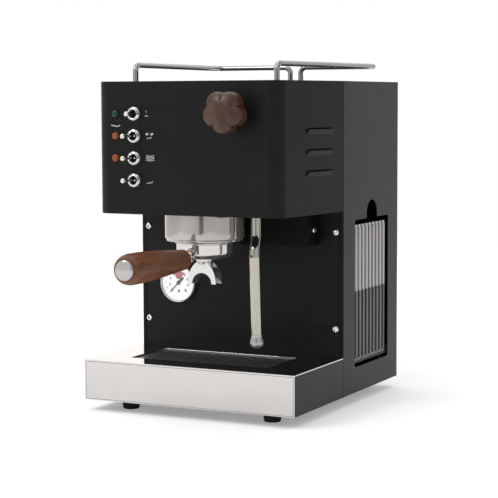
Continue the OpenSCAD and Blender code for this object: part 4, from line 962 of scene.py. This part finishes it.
def make_gauge():
    """The gauge's bezel, dial with its scale and red zone, pointer and window."""
    lo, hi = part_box("gauge_case")
    radius = (hi.x - lo.x) / 2 / MM
    front = (high("back_panel").y - lo.y) / MM - 1.5
    dial_y = low("gauge_dial").y
    place = frontward(GAUGE.x, low("back_panel").y, GAUGE.z)
    made = bmesh.new()
    bezel = rounded([
        (radius - 1.9, 1.8), (radius - 1.9, front - 1.2, 0.3), (radius - 1.2, front, 0.5),
        (radius - 0.5, front, 0.4), (radius, front - 1.4, 0.5), (radius, 0.4, 0.3), (radius - 1.9, 0.4, 0.2),
        (radius - 1.9, 1.8)], 0.3)
    add_lathe(made, bezel, place, 128)
    new_piece("gauge_bezel", made, "root", "zinc_steel", "bowl_chrome")
    finish_cad_node("gauge_case", "zinc_steel", 0)

    made = bmesh.new()
    face = (PANEL_Y - dial_y) / MM
    disc = radius - 2.1
    add_lathe(made, [(0, face - 0.5), (disc, face - 0.5), (disc, face), (0, face)], place, 128)
    rim = rounded([(disc, face), (radius - 2.05, front - 1.3), (radius - 3.1, face + 0.9, 0.5),
                   (radius - 3.8, face), (disc, face)], 0.2)
    add_lathe(made, rim, place, 128)
    new_piece("gauge_face", made, "root", "dial_white", None, ["gauge_dial"])

    plane = dial_y - 0.07 * MM
    made = bmesh.new()
    for step in range(49):
        angle = -135 + 270 * step / 48
        long = step % 4 == 0
        add_bar(made, angle, 15.2 if long else 16.2, 17.3, 0.45 if long else 0.22, plane)
    for i in range(9):
        add_digits(made, str(2 * i), *polar(-135 + 270 * i / 8, 11.8), 1.5, plane)
    add_bar(made, 180, 9.0, 9.9, 2.4, plane)
    new_piece("gauge_scale", made, "root", "dial_white", "dial_grey")

    made = bmesh.new()
    angles = [-30 + 7.5 * i for i in range(9)]
    outline = [polar(a, 13.4) for a in angles] + [polar(a, 4.2) for a in reversed(angles)]
    plate = [(GAUGE.x + a * MM, GAUGE.z + b * MM) for a, b in outline]
    lower = [made.verts.new((a, plane - 0.02 * MM, b)) for a, b in plate]
    upper = [made.verts.new((a, plane + 0.05 * MM, b)) for a, b in plate]
    made.faces.new(lower)
    made.faces.new(upper)
    for k in range(len(plate)):
        n = (k + 1) % len(plate)
        made.faces.new((lower[k], lower[n], upper[n], upper[k]))
    new_piece("gauge_red_zone", made, "root", "dial_white", "dial_red")

    made = bmesh.new()
    depth = (PANEL_Y - low("gauge_needle").y) / MM
    hub = rounded([(0, depth - 1.0), (2.4, depth - 1.0), (2.4, depth - 0.1, 0.2), (1.3, depth, 0.2),
                   (0, depth)], 0.2)
    add_lathe(made, hub, place, 48)
    needle_y = PANEL_Y - (depth - 0.6) * MM
    tip, tail = polar(-135, 13.4), polar(45, 7.4)
    for (a, b), size, thick in ((tip, 1.0, 0.55), (tail, 1.5, 1.5)):
        end = Vector((a, b))
        side = Vector((-b, a)).normalized() * thick
        corners = [side * 1.4, end + side * 0.7, end - side * 0.7, -side * 1.4]
        seat = needle_y + 0.3 * MM
        add_prism(made, [(c.x * MM, c.y * MM) for c in corners], frontward(GAUGE.x, seat, GAUGE.z), 0.45 * MM)
        add_lathe(made, [(0, 0), (size, 0), (size, 0.5), (0, 0.5)],
                  frontward(GAUGE.x + a * MM, seat, GAUGE.z + b * MM), 24)
    new_piece("gauge_pointer", made, "gauge_pointer", "pointer_black", None, ["gauge_needle"])

    made = bmesh.new()
    glass = (PANEL_Y - low("gauge_lens").y) / MM
    inner = radius - 2.0
    profile = [(0, glass - 0.9), (inner, glass - 1.1), (inner, glass - 0.3), (inner * 0.6, glass - 0.08),
               (0, glass)]
    add_lathe(made, profile, place, 96)
    new_piece("gauge_window", made, "root", "lens_glass", None, ["gauge_lens"])


# ---------------------------------------------------------------- screws and feet

def make_screws(node, name):
    """Pan head screws with a hexagon socket, each at its CAD solid's place."""
    made = bmesh.new()
    for lo, hi in islands(node):
        size, centre = hi - lo, (lo + hi) / 2
        along_axis = min(range(3), key=lambda i: abs(size[(i + 1) % 3] - size[(i + 2) % 3]))
        head_r = size[(along_axis + 1) % 3] / 2 / MM
        head_l, socket_r, socket_l = head_r * 0.62, head_r * 0.44, head_r * 0.5
        profile = [(0, -3), (head_r * 0.5, -3), (head_r * 0.5, 0), (head_r, 0), (head_r, head_l * 0.35)]
        profile += [(head_r * (0.72 + 0.28 * math.cos(a)), head_l * (0.35 + 0.6 * math.sin(a)))
                    for a in map(math.radians, (20, 40, 60, 80))]
        profile += [(socket_r + 0.3, head_l), (socket_r, head_l - 0.1, 1), (socket_r, head_l - socket_l, 1),
                    (0, head_l - socket_l - 0.2)]
        outward = 1 if (centre[along_axis] > PANEL_Y + 20 * MM if along_axis == 1 else centre.x > 0) else -1
        axis = Vector([outward if i == along_axis else 0 for i in range(3)])
        seat = centre.copy()
        seat[along_axis] = (hi if outward > 0 else lo)[along_axis] - outward * head_l * MM
        add_lathe(made, profile, along(seat, seat + axis), 48)
    new_piece(name, made, "root", "screw_steel", None, [node])


def make_feet():
    """Rubber feet with a ring groove near the table, each at its CAD solid's place."""
    made = bmesh.new()
    for lo, hi in islands("feet"):
        centre = (lo + hi) / 2
        radius = (hi.x - lo.x) / 2 / MM
        tall = (CASE_Z - TABLE_Z) / MM
        profile = rounded([
            (0, 0.4), (radius - 4, 0.4), (radius - 2.6, 0.0, 0.3), (radius - 1.4, 0.0, 0.8),
            (radius - 0.7, 2.6, 0.4), (radius - 1.1, 3.0, 0.2), (radius - 0.7, 3.4, 0.4),
            (radius, tall, 0.6), (0, tall)], 0.4)
        add_lathe(made, profile, upright(centre.x, centre.y, TABLE_Z), 64)
    new_piece("rubber_feet", made, "root", "black_rubber", None, ["feet"])


# ---------------------------------------------------------------- build everything

MATERIALS = make_materials()
add_world()
add_camera()
add_floor()
add_area_light("key_softbox", (-1.1, -1.7, 1.9), (0, 0, 0.2), (0.8, 0.8), 16)
add_area_light("top_softbox", (-0.2, -0.3, 2.4), (0, 0, 0.1), (2.2, 2.2), 14)

for material, nodes in STAYING.items():
    for node in nodes:
        finish_cad_node(node, material, 0 if node in PLAIN_EDGES else 0.35 * MM)

make_steam_knob()
make_handle()
make_bowl()
make_group_bell()
make_wand()
make_toggles()
make_lamps()
make_icons()
make_gauge()
make_tray_bend_reflection()
make_screws("panel_screws", "panel_screw_heads")
make_screws("casing_screws", "casing_screw_heads")
make_feet()

bpy.context.scene.view_settings.view_transform = "Standard"
